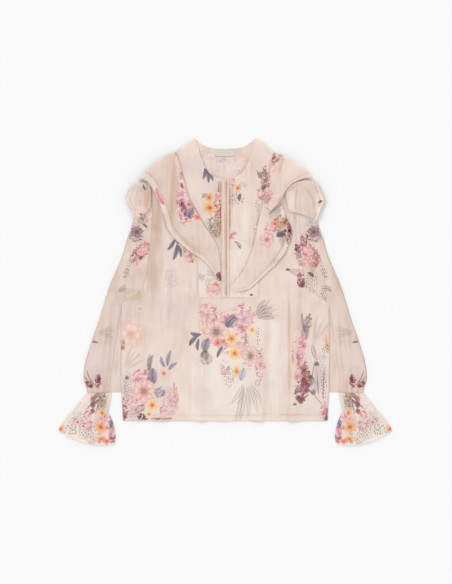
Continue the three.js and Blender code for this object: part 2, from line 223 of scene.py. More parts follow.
# Outline tables, in millimetres, as the cloth lies. In plan they and the ribs below follow the
# solids' own, but for the upper end of the right cap frill, which is up to 11 mm from its
# solid's. The folds are this script's own: more of them, and higher.
HEM_Y = -295.5
TIP_Y = 285.0
BODY_SIDE = (
    (235, HEM_Y),
    (237, -260),
    (240, -210),
    (240, -160),
    (240, -110),
    (239.5, -65),
    (238, -26),
    (218, -14),
    (190, 5),
    (182, 37),
    (177, 69),
    (173, 100),
    (171, 131),
    (169, 155),
    (168, 182),
    (169, 209),
    (171, 235),
    (173, 260),
    (175, TIP_Y),
)
BACK_TOP_EDGE = (
    (0, 329),
    (14, 330),
    (28, 331),
    (42, 334),
    (58, 343),
    (71, 352),
    (93, 338),
    (113, 322),
    (150, 304),
    (175, TIP_Y),
)
FRONT_TOP_EDGE = (
    (0, 259),
    (13, 260),
    (26, 264),
    (40, 277),
    (51, 295),
    (58, 317),
    (62, 337),
    (71, 352),
    (93, 338),
    (113, 322),
    (150, 304),
    (175, TIP_Y),
)
SLEEVE_OUTER = (
    (178, 285),
    (196, 258),
    (205, 235),
    (210, 200),
    (209, 177),
    (217, 147),
    (226, 120),
    (236, 85),
    (250, 51),
    (265, 16),
    (279, -28),
    (290, -64),
    (306, -110),
    (320, -156),
    (325, -184),
    (325, -202),
    (319, -221),
    (316, -231),
)
# How far a sleeve's inner edge lies from the side seam
SEAM_GAP = 0.6

# Soft folds of the front, as they lie in the photograph
FRONT_FOLDS = (
    Fold((-176, 150), (-180, -130), 6.0, 24, bend=-5, lean=0.3),
    Fold((-134, 80), (-142, -110), 5.0, 20, bend=3, lean=-0.3),
    Fold((-205, -20), (-196, -230), 3.5, 26, bend=4),
    Fold((-92, 20), (-100, -190), 3.0, 30, bend=-6),
    Fold((-58, -20), (-60, -300), 5.5, 20, lean=0.35, open_end=True),
    Fold((-10, -120), (-4, -300), 2.4, 26, open_end=True),
    Fold((88, -10), (82, -300), 5.0, 22, bend=3, lean=-0.4, open_end=True),
    Fold((118, -60), (112, -260), 2.6, 20, bend=-3),
    Fold((150, 60), (150, -300), 6.0, 22, bend=4, lean=0.4, open_end=True),
    Fold((196, 0), (208, -290), 5.0, 22, bend=-6, lean=-0.2),
    Fold((40, -15), (30, -140), 2.0, 24),
    Fold((-140, -150), (-150, -300), 2.6, 24, open_end=True),
)


def swell(x: Grid, y: Grid, places: Sequence[tuple[float, float, float, float]]) -> Grid:
    """Low, wide unevenness of cloth that lies loosely.

    Args:
        x: places across, in millimetres.
        y: places up, in millimetres.
        places: rows of wavelength, direction in degrees, phase and height.

    Returns:
        The height there, from 0 up, in millimetres.
    """
    total = np.zeros_like(x, float)
    for wave, turn, phase, height in places:
        way = math.radians(turn)
        share = (x * math.cos(way) + y * math.sin(way)) / wave
        total += height * (0.5 + 0.5 * np.sin(share * 2 * np.pi + phase))
    return total


# How unevenly the front lies, as rows of swell
LOOSE = ((64, 8, 0.4, 0.5), (93, 71, 1.9, 0.7), (47, 24, 3.0, 0.3), (38, -17, 0.9, 0.25))


def front_rise(x: Grid, y: Grid) -> Grid:
    """How far the front stands up over the back.

    Args:
        x: places across, in millimetres.
        y: places up, in millimetres.

    Returns:
        The height there, in millimetres.
    """
    rise = swell(x, y, LOOSE)
    for fold in FRONT_FOLDS:
        rise = rise + fold.height(x, y)
    return np.maximum(rise, 0)


# Front and sleeve lie apart up to the first of these places, and in one surface from the second.
SEAM_FOOT, SEAM_JOINED = -60.0, -15.0


def armhole_share(y: Grid) -> Grid:
    """1 beside the armhole, where front and sleeve lie in one surface, and 0 further down."""
    return np.clip((y - SEAM_FOOT) / (SEAM_JOINED - SEAM_FOOT), 0, 1)


@dataclass
class Sheet:
    """One grid of cloth: places, its place in the print, its gathers and painted shade and light.
    """

    places: Grid
    prints: Grid
    gather_and_shade: Grid
    ring: bool = False

    def quads(self, first: int) -> Grid:
        """Faces of the grid, wound so that its topmost ones look up.

        Args:
            first: the number of the sheet's first vertex in the mesh.

        Returns:
            Four vertex numbers for each face.
        """
        rows, columns = self.places.shape[:2]
        ids = first + np.arange(rows * columns).reshape(rows, columns)
        at = self.places
        if self.ring:
            ids = np.concatenate([ids, ids[:, :1]], axis=1)
            at = np.concatenate([at, at[:, :1]], axis=1)
        faces = np.stack([ids[:-1, :-1], ids[:-1, 1:], ids[1:, 1:], ids[1:, :-1]], axis=-1)
        across, down = at[:-1, 1:] - at[:-1, :-1], at[1:, :-1] - at[:-1, :-1]
        up = np.cross(across, down)[..., 2]
        high = at[:-1, :-1, 2] >= np.median(at[:-1, :-1, 2])
        if up[high].sum() < 0:
            faces = faces[..., ::-1]
        return faces.reshape(-1, 4)


@dataclass(frozen=True)
class Region:
    """A rectangle of the print, in millimetres, and the finish that its faces take."""

    low: tuple[float, float]
    high: tuple[float, float]
    finish: str


# A rectangle round the whole blouse, in millimetres; under layers lie outside it.
EVERYWHERE = ((-400.0, -400.0), (400.0, 400.0))


def sheet_from(
    x: Grid, y: Grid, z: Grid, gather_and_shade: Grid | None = None, mirror: bool = False, ring: bool = False
) -> Sheet:
    """Makes a sheet from grids in millimetres, its print laid straight down on it.

    Args:
        x: places across.
        y: places up.
        z: heights.
        gather_and_shade: gathers with painted shade and light; the default is nowhere.
        mirror: whether its print is turned left for right.
        ring: whether its last column joins its first.

    Returns:
        The sheet.
    """
    prints = np.stack([-x if mirror else x, y], axis=-1) * MM
    places = np.stack([x, y, z], axis=-1) * MM
    return Sheet(places, prints, np.zeros_like(x) if gather_and_shade is None else gather_and_shade, ring)


@dataclass
class Piece:
    """A sewn piece of the blouse: its sheets, joined in one mesh, with its finishes and facts."""

    name: str
    node: str
    sheets: list[Sheet]
    slot: str
    finishes: tuple[str, ...]
    regions: tuple[Region, ...] = ()
    held: str = "laid"
    rests_on: tuple[str, ...] = ()

    def mesh(self) -> bpy.types.Mesh:
        """Joins the sheets into one mesh with print map, gathers and painted shade, face finishes.

        Returns:
            The mesh.
        """
        faces, first = [], 0
        for sheet in self.sheets:
            faces.append(sheet.quads(first))
            first += sheet.gather_and_shade.size
        places = np.vstack([sheet.places.reshape(-1, 3) for sheet in self.sheets])
        prints = np.vstack([sheet.prints.reshape(-1, 2) for sheet in self.sheets])
        gathers_and_shade = np.concatenate([sheet.gather_and_shade.reshape(-1) for sheet in self.sheets])
        faces = np.vstack(faces)
        mesh = bpy.data.meshes.new(self.name)
        mesh.from_pydata(places.tolist(), [], faces.tolist())
        mesh.polygons.foreach_set("use_smooth", np.ones(len(faces), bool))
        mesh.uv_layers.new(name=PRINT_MAP).data.foreach_set("uv", prints[faces.ravel()].ravel())
        normals = np.empty(3 * len(places))
        mesh.vertices.foreach_get("normal", normals)
        level = np.maximum(np.abs(normals[2::3]), LEAST_UP)
        slope = np.hypot(normals[0::3], normals[1::3]) / level
        # Painted shade on steep cloth: the sides of folds are painted darker and more opaque.
        gathers_and_shade = gathers_and_shade + STEEP_SHADE_SHARE * np.minimum(slope, STEEP_SHADE_LIMIT)
        mesh.attributes.new(GATHER_AND_SHADE, "FLOAT", "POINT").data.foreach_set("value", gathers_and_shade)
        middle = prints[faces].mean(axis=1) / MM
        index = np.zeros(len(faces), np.int32)
        for region in self.regions:
            inside = ((middle >= region.low) & (middle <= region.high)).all(axis=1)
            index[inside] = self.finishes.index(region.finish)
        mesh.polygons.foreach_set("material_index", index)
        mesh.update()
        return mesh

    def make(self, wardrobe: "Wardrobe") -> bpy.types.Object:
        """Puts the piece in the scene, dressed and riding on the body.

        Args:
            wardrobe: the finishes by name.

        Returns:
            The piece's object.
        """
        mesh = self.mesh()
        for name in self.finishes:
            mesh.materials.append(wardrobe[name])
        piece = bpy.data.objects.new(f"{self.node}_cloth", mesh)
        bpy.context.scene.collection.objects.link(piece)
        cut = sum(face.area for face in mesh.polygons)
        flat = self.flat_size(cut)
        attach(piece, BODY)
        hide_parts(self.node)
        sizes = (flat[0] / MM, flat[1] / MM, cut)
        log.info("%s: %d faces, cut %.0f x %.0f mm, %.4f m2", self.name, len(mesh.polygons), *sizes)
        return piece

    def flat_size(self, cut: float) -> tuple[float, float]:
        """Width and length that the cloth is cut to, along its own two main directions.

        Args:
            cut: its flat area in square metres.

        Returns:
            Width and length in metres.
        """
        flat = np.vstack([sheet.places.reshape(-1, 3)[:, :2] for sheet in self.sheets])
        flat = flat - flat.mean(axis=0)
        turned = flat @ np.linalg.eigh(flat.T @ flat)[1]
        short, long = np.ptp(turned, axis=0)
        grow = max(1.0, math.sqrt(CUT_SPARE * cut / (short * long)))
        return max(float(short * grow), NARROWEST_CUT), float(long * grow)


def printed(name: str, node: str, sheets: list[Sheet], finish: str, **facts: object) -> Piece:
    """A piece that is of one printed chiffon all over.

    Args:
        name: the piece's name.
        node: the solid it stands for.
        sheets: its cloth.
        finish: the chiffon.
        facts: how it is held and what it rests on, as Piece takes them.

    Returns:
        The piece.
    """
    regions = (Region(*EVERYWHERE, finish),)
    return Piece(name, node, sheets, PRINTED_SLOT, (PLAIN, finish), regions, **facts)


# Fans of ribs, in millimetres. A rib runs from its held edge through its middle to its free edge.
# The last two numbers are the heights of the underside there.
Rib = tuple[tuple[float, float], tuple[float, float], tuple[float, float], float, float]
# Heights over the table of the layers that a frill or panel lies on
ON_FRONT, NEAR_FRONT, ON_YOKE, ON_SLEEVE, ON_CAP = 2.8, 3.3, 4.2, 5.4, 9.2
YOKE_LEFT = (
    ((-71, 352), (-93, 338), (-113, 322), ON_FRONT, ON_FRONT),
    ((-62, 336), (-83, 314), (-104, 292), ON_FRONT, ON_FRONT),
    ((-57, 314), (-76, 290), (-96, 267), ON_FRONT, ON_FRONT),
    ((-41, 279), (-64, 252), (-85, 223), ON_FRONT, ON_FRONT),
    ((-25, 265), (-44, 227), (-65, 186), ON_FRONT, ON_FRONT),
    ((-7, 258), (-27, 198), (-44, 150), ON_FRONT, ON_FRONT),
    ((-7, 212), (-18, 166), (-28, 126), ON_FRONT, ON_FRONT),
    ((-7, 154), (-13, 131), (-19, 110), ON_FRONT, ON_FRONT),
)
YOKE_RIGHT = (
    ((71, 352), (92, 338), (113, 322), ON_FRONT, ON_FRONT),
    ((63, 334), (84, 312), (104, 292), ON_FRONT, ON_FRONT),
    ((57, 310), (78, 286), (97, 262), ON_FRONT, ON_FRONT),
    ((43, 281), (67, 256), (91, 232), ON_FRONT, ON_FRONT),
    ((27, 266), (57, 233), (87, 202), ON_FRONT, ON_FRONT),
    ((8, 259), (41, 212), (76, 168), ON_FRONT, ON_FRONT),
    ((8, 212), (39, 172), (70, 133), ON_FRONT, ON_FRONT),
    ((8, 154), (34, 127), (60, 104), ON_FRONT, ON_FRONT),
)
FRILL_LEFT = (
    ((-114, 322), (-156, 301), (-201, 258), ON_YOKE, ON_CAP),
    ((-104, 292), (-139, 271), (-178, 251), ON_YOKE, ON_CAP),
    ((-94, 255), (-125, 237), (-159, 221), ON_YOKE, ON_CAP),
    ((-82, 214), (-113, 198), (-145, 186), ON_YOKE, 6.6),
    ((-65, 183), (-99, 161), (-132, 143), ON_YOKE, NEAR_FRONT),
    ((-47, 152), (-76, 129), (-109, 115), ON_YOKE, NEAR_FRONT),
    ((-30, 126), (-53, 106), (-79, 91), ON_YOKE, NEAR_FRONT),
    ((-19, 108), (-33, 87), (-49, 71), ON_YOKE, NEAR_FRONT),
    ((-12, 69), (-19, 57), (-28, 46), ON_YOKE, NEAR_FRONT),
    ((-10, 34), (-13, 30), (-17, 25), ON_YOKE, NEAR_FRONT),
)
FRILL_RIGHT_UPPER = (
    ((110, 319), (155, 303), (202, 262), ON_YOKE, ON_CAP),
    ((104, 292), (142, 276), (177, 260), 5.4, ON_CAP),
    ((97, 262), (126, 251), (151, 247), 6.8, ON_CAP),
    ((93, 235), (117, 228), (137, 230), 8.2, ON_CAP),
    ((90, 212), (108, 205), (124, 207), 8.4, 8.8),
    ((91, 194), (98, 191), (106, 187), 8.4, 8.4),
)
FRILL_RIGHT_LOWER = (
    ((88, 212), (108, 207), (129, 202), ON_YOKE, NEAR_FRONT),
    ((81, 186), (110, 181), (138, 177), ON_YOKE, NEAR_FRONT),
    ((74, 156), (114, 145), (153, 140), ON_YOKE, NEAR_FRONT),
    ((67, 122), (108, 108), (144, 103), ON_YOKE, NEAR_FRONT),
    ((59, 90), (91, 78), (124, 71), ON_YOKE, NEAR_FRONT),
    ((43, 55), (68, 44), (91, 40), ON_YOKE, NEAR_FRONT),
    ((22, 25), (41, 18), (57, 9), ON_YOKE, NEAR_FRONT),
    ((11.5, 12), (17, 6), (22, -1), ON_YOKE, NEAR_FRONT),
)
CAP_LEFT = (
    ((-173, 262), (-191, 253), (-212, 245), ON_SLEEVE, ON_SLEEVE),
    ((-171, 237), (-196, 230), (-223, 230), ON_SLEEVE, ON_SLEEVE),
    ((-170, 214), (-198, 209), (-228, 212), ON_SLEEVE, ON_SLEEVE),
    ((-172, 196), (-194, 191), (-218, 193), ON_SLEEVE, ON_SLEEVE),
    ((-178, 186), (-195, 179), (-213, 179), ON_SLEEVE, ON_SLEEVE),
    ((-189, 179), (-197, 171), (-205, 162), ON_SLEEVE, ON_SLEEVE),
)
CAP_RIGHT = (
    ((140, 240), (176, 255), (212, 252), ON_SLEEVE, ON_SLEEVE),
    ((138, 224), (179, 225), (222, 229), ON_SLEEVE, ON_SLEEVE),
    ((141, 205), (181, 203), (229, 210), ON_SLEEVE, ON_SLEEVE),
    ((144, 187), (181, 188), (220, 188), ON_SLEEVE, ON_SLEEVE),
    ((158, 183), (183, 176), (210, 162), ON_SLEEVE, ON_SLEEVE),
)
BIB = (
    ((-65, 98), (7, 98), (80, 98), ON_FRONT, ON_FRONT),
    ((-64, 43), (7, 43), (78, 43), ON_FRONT, ON_FRONT),
    ((-63, -12), (6, -12), (76, -12), ON_FRONT, ON_FRONT),
)
PLACKET_OVER = (
    ((-9, 258), (-3, 258), (3, 258), ON_YOKE, ON_YOKE),
    ((-9, -10), (-3, -10), (3, -10), ON_YOKE, ON_YOKE),
)
PLACKET_UNDER = (
    ((3.6, 258), (6.5, 258), (9.4, 258), ON_YOKE, ON_YOKE),
    ((3.6, -9), (6.5, -9), (9.4, -9), ON_YOKE, ON_YOKE),
)
# Tubes laid flat: the two numbers are the height of the upper wall at the middle, twice.
WRIST_BAND = (
    ((317, -231.4), (289.5, -231.4), (262, -231.4), 4.6, 4.6),
    ((326, -243), (295, -249), (265, -254), 4.8, 4.8),
    ((335, -253), (302, -264.5), (269, -276), 4.8, 4.8),
)
CUFF = (
    ((335, -253.5), (302, -265), (269, -276.5), 4.8, 4.8),
    ((352, -274), (308, -284), (262, -290), 5.2, 5.2),
    ((369, -294), (313, -307), (256, -308), 5.6, 5.6),
    ((382, -314), (317, -329), (252, -329), 5.8, 5.8),
    ((381, -321), (318, -346.5), (255, -350), 5.8, 5.8),
)

# The height of a flat tube's two folded edges
TUBE_EDGE = 2.9
# The size of the cloth's faces, about
CLOTH_STEP = 3.0
# A seam's doubled cloth: how much more gathered it shows, and its width
SEAM_TONE = 0.62
SEAM_WIDTH = 2.6
# How much paler a doubled hem band shows
BAND_LIGHT = 0.16
# A frill lies on the top of its solid's wall.
ON_TOP = 1.0


@dataclass
class Fan:
    """Places of a ribbed panel: x, y and height, with the share along it and across each rib."""

    x: Grid
    y: Grid
    z: Grid
    along: Grid
    across: Grid
    wide: float


def edge_lines(panel: Fan) -> Grid:
    """How much more cloth there is along a panel's two long edges, where it is turned in."""
    inward = np.minimum(panel.across, 1 - panel.across) * panel.wide
    return SEAM_TONE * bump(inward, SEAM_WIDTH)


def fan(ribs: Sequence[Rib], across: Grid | None = None) -> Fan:
    """Lays out a ribbed panel, each rib a parabola through its three places.

    Args:
        ribs: the panel's ribs.
        across: shares along each rib, 0 at the held edge; the default is even steps.

    Returns:
        The panel's places; heights are of the cloth's middle, before any rolls.
    """
    ends = [np.array([(*rib[end], rib[3], rib[4]) for rib in ribs], float) for end in range(3)]
    length = np.linalg.norm(np.diff(ends[2][:, :2], axis=0), axis=1).sum()
    length = max(length, np.linalg.norm(np.diff(ends[0][:, :2], axis=0), axis=1).sum())
    rows = max(6, round(length / CLOTH_STEP))
    lines = [spline(end, rows + 1) for end in ends]
    wide = float(np.linalg.norm(ends[2][:, :2] - ends[0][:, :2], axis=1).max())
    if across is None:
        across = np.linspace(0, 1, max(4, round(wide / CLOTH_STEP)) + 1)
    s = across[None, :]
    held, middle, free = (line[:, None, :2] for line in lines)
    t = s[..., None]
    flat = held * (1 - t) * (1 - 2 * t) + middle * 4 * t * (1 - t) + free * t * (2 * t - 1)
    height = lines[0][:, 2:3] * (1 - s) + lines[0][:, 3:4] * s
    along = np.linspace(0, 1, rows + 1)[:, None] + 0 * s
    return Fan(flat[..., 0], flat[..., 1], height, along, s + 0 * along, wide)


def sum_folds(x: Grid, y: Grid, folds: Sequence[Fold]) -> Grid:
    """Adds up the rise of folds: gathers with painted shade and light, and for a sleeve, heights.

    Args:
        x: places across, in millimetres.
        y: places up, in millimetres.
        folds: the folds, whose rise is gathers and painted shade, for a sleeve a height.

    Returns:
        How gathered it is there, with its painted shade; below 0 it is painted light.
    """
    total = np.zeros_like(x, float)
    for fold in folds:
        total = total + fold.height(x, y)
    return total


# ---------------------------------------------------------------------------------------------
# Print


class Motif(Enum):
    """The kinds of motif in the print; each is one shader node group."""

    FLOWER = "Flower"
    LEAF = "Leaf"
    LINES = "Lines"
    PETALS = "Petals"
    DOTS = "Dots"
    NETTING = "Netting"


@dataclass(frozen=True)
class Style:
    """How one kind of flower, leaf or sprig is painted, in a heart, a body and a rim colour.

    For a flower, detail is its number of petals and how deep the gaps between them are. For a
    leaf it is its bend and how feathered its edge is, for loose petals their size in
    millimetres and how many of them are left out, and for a sprig the spacing of its dots in
    millimetres and their share of it.
    """

    motif: Motif
    heart: str
    body: str
    rim: str
    detail: tuple[float, float]
    strength: float = 0.85


SUN = Style(Motif.FLOWER, "CF5A30", "F2B968", "FAE2B2", (5, 0.2), 0.88)
AMBER = Style(Motif.FLOWER, "B0441E", "E99E5A", "F3C894", (4, 0.14), 0.88)
COSMOS = Style(Motif.FLOWER, "8E5A50", "F6DAD2", "DD857C", (8, 0.5), 0.85)
DAISY = Style(Motif.FLOWER, "7F7040", "F5D6D2", "D37D86", (9, 0.5), 0.85)
DAISYPINK = Style(Motif.FLOWER, "B86258", "F6D8D0", "DD8B88", (8, 0.42), 0.85)
PEONY = Style(Motif.FLOWER, "CC86A0", "F3DCE0", "D993B4", (5, 0.25), 0.7)
PEACHY = Style(Motif.FLOWER, "CF8E74", "F3DFD2", "E2A898", (6, 0.3), 0.55)
BLUSH = Style(Motif.FLOWER, "B85C58", "F6DAD2", "DC8682", (6, 0.42), 0.8)
CORAL = Style(Motif.FLOWER, "B03E38", "EE9C88", "DD6E60", (5, 0.35), 0.88)
ROSEBUD = Style(Motif.FLOWER, "7A544E", "E6CFC2", "A3807A", (3, 0.2), 0.8)
DUSKROSE = Style(Motif.FLOWER, "553640", "B08A8E", "80586A", (5, 0.3), 0.82)
WINEROSE = Style(Motif.FLOWER, "431822", "8A3846", "5E2230", (6, 0.3), 0.88)
WINEBUD = Style(Motif.FLOWER, "4A1A28", "9C4450", "6E2836", (4, 0.2), 0.88)
MAGENTA = Style(Motif.FLOWER, "A23C66", "E9A6B8", "CF6A90", (5, 0.3), 0.8)
SLATE = Style(Motif.FLOWER, "BCAEB2", "D8CCCC", "CABABE", (4, 0.2), 0.34)
VIOLET = Style(Motif.LEAF, "66505F", "957F8C", "BFAAB0", (0.25, 0.25), 0.78)
INDIGO = Style(Motif.LEAF, "372C3A", "62566C", "9088A0", (0.25, 0.2), 0.92)
BLUEPETAL = Style(Motif.LEAF, "463C54", "706886", "A69EB8", (0.15, 0.25), 0.85)
PETALBLUE = Style(Motif.LEAF, "8284A2", "AEB0C8", "CBCAD8", (0.1, 0.1), 0.75)
GREYVIOLET = Style(Motif.LEAF, "696074", "9A9098", "BCB0B6", (0.2, 0.2), 0.7)
DUSKLEAF = Style(Motif.LEAF, "55506A", "86849C", "B6B4C6", (0.25, 0.2), 0.85)
DARKLEAF = Style(Motif.LEAF, "332E32", "544A50", "7A6C72", (0.2, 0.1), 0.85)
BROWNLEAF = Style(Motif.LINES, "74503E", "80584A", "C4A290", (0.25, 0.7), 0.85)
PINKLEAF = Style(Motif.LEAF, "B0486E", "DE8A9C", "EEBEBE", (0.25, 0.2), 0.8)
SAGE = Style(Motif.LINES, "767A70", "7E8076", "B9B4A6", (0.2, 0.5), 0.6)
PENCIL = Style(Motif.LINES, "6E695C", "7E786A", "C6C0B2", (0.3, 0.7), 0.6)
STEM = Style(Motif.LEAF, "6A464E", "7C5660", "94707A", (0.5, 0.0), 0.7)
PINKS = Style(Motif.PETALS, "BE6272", "EBB0B4", "F6D8D4", (6.6, 0.16), 0.78)
MAGENTAS = Style(Motif.PETALS, "AE4C72", "E08AA2", "F2C0CC", (6.0, 0.16), 0.74)
WINES = Style(Motif.PETALS, "451A28", "8C3C54", "CE8E9C", (4.4, 0.16), 0.88)
VIOLETS = Style(Motif.PETALS, "4E3E50", "857688", "BCAAB6", (4.6, 0.16), 0.8)
RUSTS = Style(Motif.PETALS, "6E3E2E", "AE7C66", "DCBBA2", (4.8, 0.18), 0.76)
MIXED = Style(Motif.PETALS, "5E2A30", "C8745E", "EBB9A0", (5.6, 0.1), 0.88)
BRICKS = Style(Motif.PETALS, "5E302C", "A46C62", "DBB0A4", (4.6, 0.16), 0.85)
MOSS = Style(Motif.PETALS, "6E5E4A", "A6957C", "CBBBA4", (4.4, 0.2), 0.7)
BLUSHES = Style(Motif.PETALS, "E2B8B4", "EFCFC8", "F4DDD6", (7.0, 0.1), 0.45)
HAZE = Style(Motif.FLOWER, "DCD2D2", "E0D6D4", "DCD2D0", (2, 0.0), 0.26)
SMOKES = Style(Motif.PETALS, "9C98A8", "BAB4BE", "D2CACE", (5.0, 0.1), 0.55)
DOTS = Style(Motif.DOTS, "4A4644", "4C4644", "5A5654", (4.4, 0.33), 0.78)
NETTING = Style(Motif.NETTING, "5A4A4C", "6E5C5E", "7A6668", (5.6, 0.1), 0.55)

# Each row of a print: its style, the place of its middle, its length and width, in millimetres,
# and the turn of its length from +X, in degrees.
Row = tuple[Style, float, float, float, float, float]

# In a spray, every second leaf is shorter at each end by the first share of its length, and
# leaves start off from its foot by the second.
UNEVEN_LEAF = 0.06
LEAF_FOOT = 0.24


def spray(
    style: Style, x: float, y: float, length: float, width: float, turns: Sequence[float]
) -> tuple[Row, ...]:
    """Leaves or stems that fan out from one place.

    Args:
        style: how they are painted.
        x: where they start, in millimetres.
        y: where they start.
        length: length of each.
        width: width of each.
        turns: the way that each one points, in degrees from +X.

    Returns:
        A row for each.
    """
    rows = []
    for number, turn in enumerate(turns):
        half = length * (0.5 - UNEVEN_LEAF * (number % 2))
        way = math.radians(turn)
        reach = half + LEAF_FOOT * length
        at = (x + reach * math.cos(way), y + reach * math.sin(way))
        rows.append((style, *at, 2 * half, width, turn))
    return tuple(rows)


YOKE_LEFT_PRINT = (
    (INDIGO, -48, 272, 28, 9, -100),
    (INDIGO, -40, 267, 34, 10, -82),
    (INDIGO, -32, 264, 20, 7, -62),
    *spray(STEM, -44, 284, 16, 3, (60, 85, 110)),
    (MOSS, -24, 150, 26, 50, 10),
    (MIXED, -17, 200, 16, 60, 0),
    (WINES, -10.6, 168, 2.4, 84, 0),
    (BRICKS, -15, 226, 3, 50, 0),
    (PINKS, -18, 214, 14, 30, 0),
    (RUSTS, -14, 150, 10, 41, 0),
    (AMBER, -37, 217, 22, 24, 0),
    (AMBER, -36, 193, 28, 28, 30),
    (GREYVIOLET, -48, 221, 14, 11.5, 40),
    (NETTING, -40, 152, 18, 41, 0),
    (DOTS, -28, 143, 18, 23, 0),
    *spray(PENCIL, -14, 129, 32, 4.6, (120, 140, 160)),
)
YOKE_RIGHT_PRINT = (
    (PINKS, 13, 253, 18, 21, 0),
    (BRICKS, 9.5, 180, 2.2, 120, 0),
    (AMBER, 29, 239, 15, 18, 0),
    (DOTS, 29, 216, 37, 32, 0),
    (NETTING, 41, 246, 21, 14, 0),
    (DARKLEAF, 33, 218, 18, 9.2, 80),
    (GREYVIOLET, 76, 273, 17, 6, 120),
    (VIOLETS, 80, 268, 12, 14, 0),
    (BRICKS, 91, 244, 16, 78, 0),
    (DOTS, 75, 198, 18, 32, 0),
    (DOTS, 75, 145, 21, 41, 0),
    (PINKS, 80, 225, 14, 28, 20),
    (AMBER, 91, 175, 18, 26, 20),
    (VIOLET, 91, 159, 18, 13.8, 30),
    (CORAL, 98, 143, 18, 18, 0),
    (BLUSH, 94, 120, 34, 34, 10),
)
RUFFLE_LEFT_PRINT = (
    (BLUSHES, -104, 286, 18, 60, 8),
    (MOSS, -102, 272, 10, 24, 8),
    (PINKS, -98, 244, 18, 37, 0),
    (DARKLEAF, -99, 244, 14, 6.9, 110),
    (PINKS, -95, 191, 28, 74, 10),
    (MAGENTAS, -98, 200, 16, 52, 10),
    (WINES, -94, 188, 10, 44, 14),
    (VIOLETS, -81, 179, 18, 21, 0),
    (BLUEPETAL, -79, 182, 24, 13, 60),
    (RUSTS, -79, 200, 14, 23, 0),
    (CORAL, -64, 172, 21, 14, -20),
    (PINKLEAF, -150, 219, 44, 15, 114),
    (WINEBUD, -14, 38, 16, 18, 0),
    (GREYVIOLET, -187, 246, 28, 18.4, 110),
    (VIOLETS, -185, 248, 16, 21, 0),
)
RUFFLE_RIGHT_PRINT = (
    (RUSTS, 119, 310, 28, 23, 0),
    (BRICKS, 108, 308, 16, 20, 0),
    (PINKS, 105, 285, 18, 28, 0),
    (BRICKS, 95, 248, 16, 92, 0),
    (PINKS, 103, 221, 18, 23, 20),
    (RUSTS, 131, 156, 41, 37, 10),
    (RUSTS, 147, 142, 20, 66, 0),
    (WINES, 150, 160, 8, 60, -6),
    (VIOLETS, 128, 133, 18, 16, 0),
    (DARKLEAF, 128, 131, 23, 13.8, 10),
    (WINES, 149, 152, 12, 46, 0),
    (CORAL, 114, 156, 18, 16, 20),
    (PINKS, 103, 143, 23, 37, 0),
    # This leaf is print and also painted shade, where the upper frill's edge shades this one.
    (GREYVIOLET, 118, 192, 48, 9, 37),
    (SAGE, 117, 182, 41, 6.9, 35),
    (BLUSH, 96, 120, 34, 34, 0),
    *spray(SAGE, 119, 129, 23, 6.9, (-30, -60)),
)
CAP_PRINT = (
    (SMOKES, -190, 246, 26, 30, 0),
    (DARKLEAF, -186, 240, 14, 6, 110),
    (BLUSHES, -200, 186, 30, 26, 0),
    (DARKLEAF, -193, 177, 10, 5, -50),
    (DARKLEAF, 218, 207, 12, 6.9, 30),
)
BIB_PRINT = (
    *spray(PENCIL, -42, 74, 30, 5.5, (60, 85, 110)),
    (NETTING, -24, 71, 16, 28, 0),
    (DOTS, -19, 55, 14, 23, 0),
    (WINEROSE, -11, 32, 21, 16, 0),
    (DARKLEAF, -11, 32, 12, 9.2, 0),
    *spray(PENCIL, -14, 34, 28, 4.6, (150, 165, -165)),
    (PINKS, -28, 7, 32, 32, 0),
    (PEACHY, -27, 2, 34, 30, 0),
    (CORAL, -19, 17, 14, 8, -30),
    (SMOKES, -56, 34, 18, 14, -20),
    (NETTING, -40, 21, 14, 14, 0),
    (BLUSH, 41, 7, 23, 25, 10),
    (DARKLEAF, 60, -7, 9, 6.9, 0),
)
FRONT_UPPER_PRINT = (
    (PINKLEAF, 15, 131, 18, 8, 50),
    (PINKLEAF, 22, 134, 20, 8, 20),
    (PINKLEAF, 14, 124, 16, 7, 5),
    *spray(STEM, 16, 122, 26, 3.4, (-50, -36)),
    (DUSKROSE, 33, 104, 9, 6, -40),
    (INDIGO, -124, 108, 30, 10, -124),
    (INDIGO, -114, 92, 40, 11, -104),
    (INDIGO, -104, 94, 30, 9, -76),
    (BLUEPETAL, -108, 116, 22, 10, 160),
    (RUSTS, -83, 87, 23, 37, 30),
    (PEACHY, -82, 84, 30, 34, 10),
    (PINKS, -80, 82, 16, 24, 10),
    (SLATE, -122, 34, 32, 46, 0),
    (BLUSHES, -124, 24, 32, 50, 0),
)
FRONT_SIDE_PRINT = (
    *spray(BROWNLEAF, 140, 53, 30, 5.5, (-10, -32)),
    (DARKLEAF, 144, 51, 12, 6.9, 0),
    (WINES, 174, 25, 16, 38, 10),
    (WINEBUD, 177, 16, 12, 16, 0),
    (VIOLETS, 172, 96, 22, 44, 0),
    (WINES, 166, 108, 12, 30, 0),
    (PINKS, 179, 66, 20, 44, 0),
    (DOTS, 186, 30, 26, 60, 0),
    (NETTING, 186, 37, 18, 37, 0),
    (PINKS, 188, -2, 20, 30, 0),
)
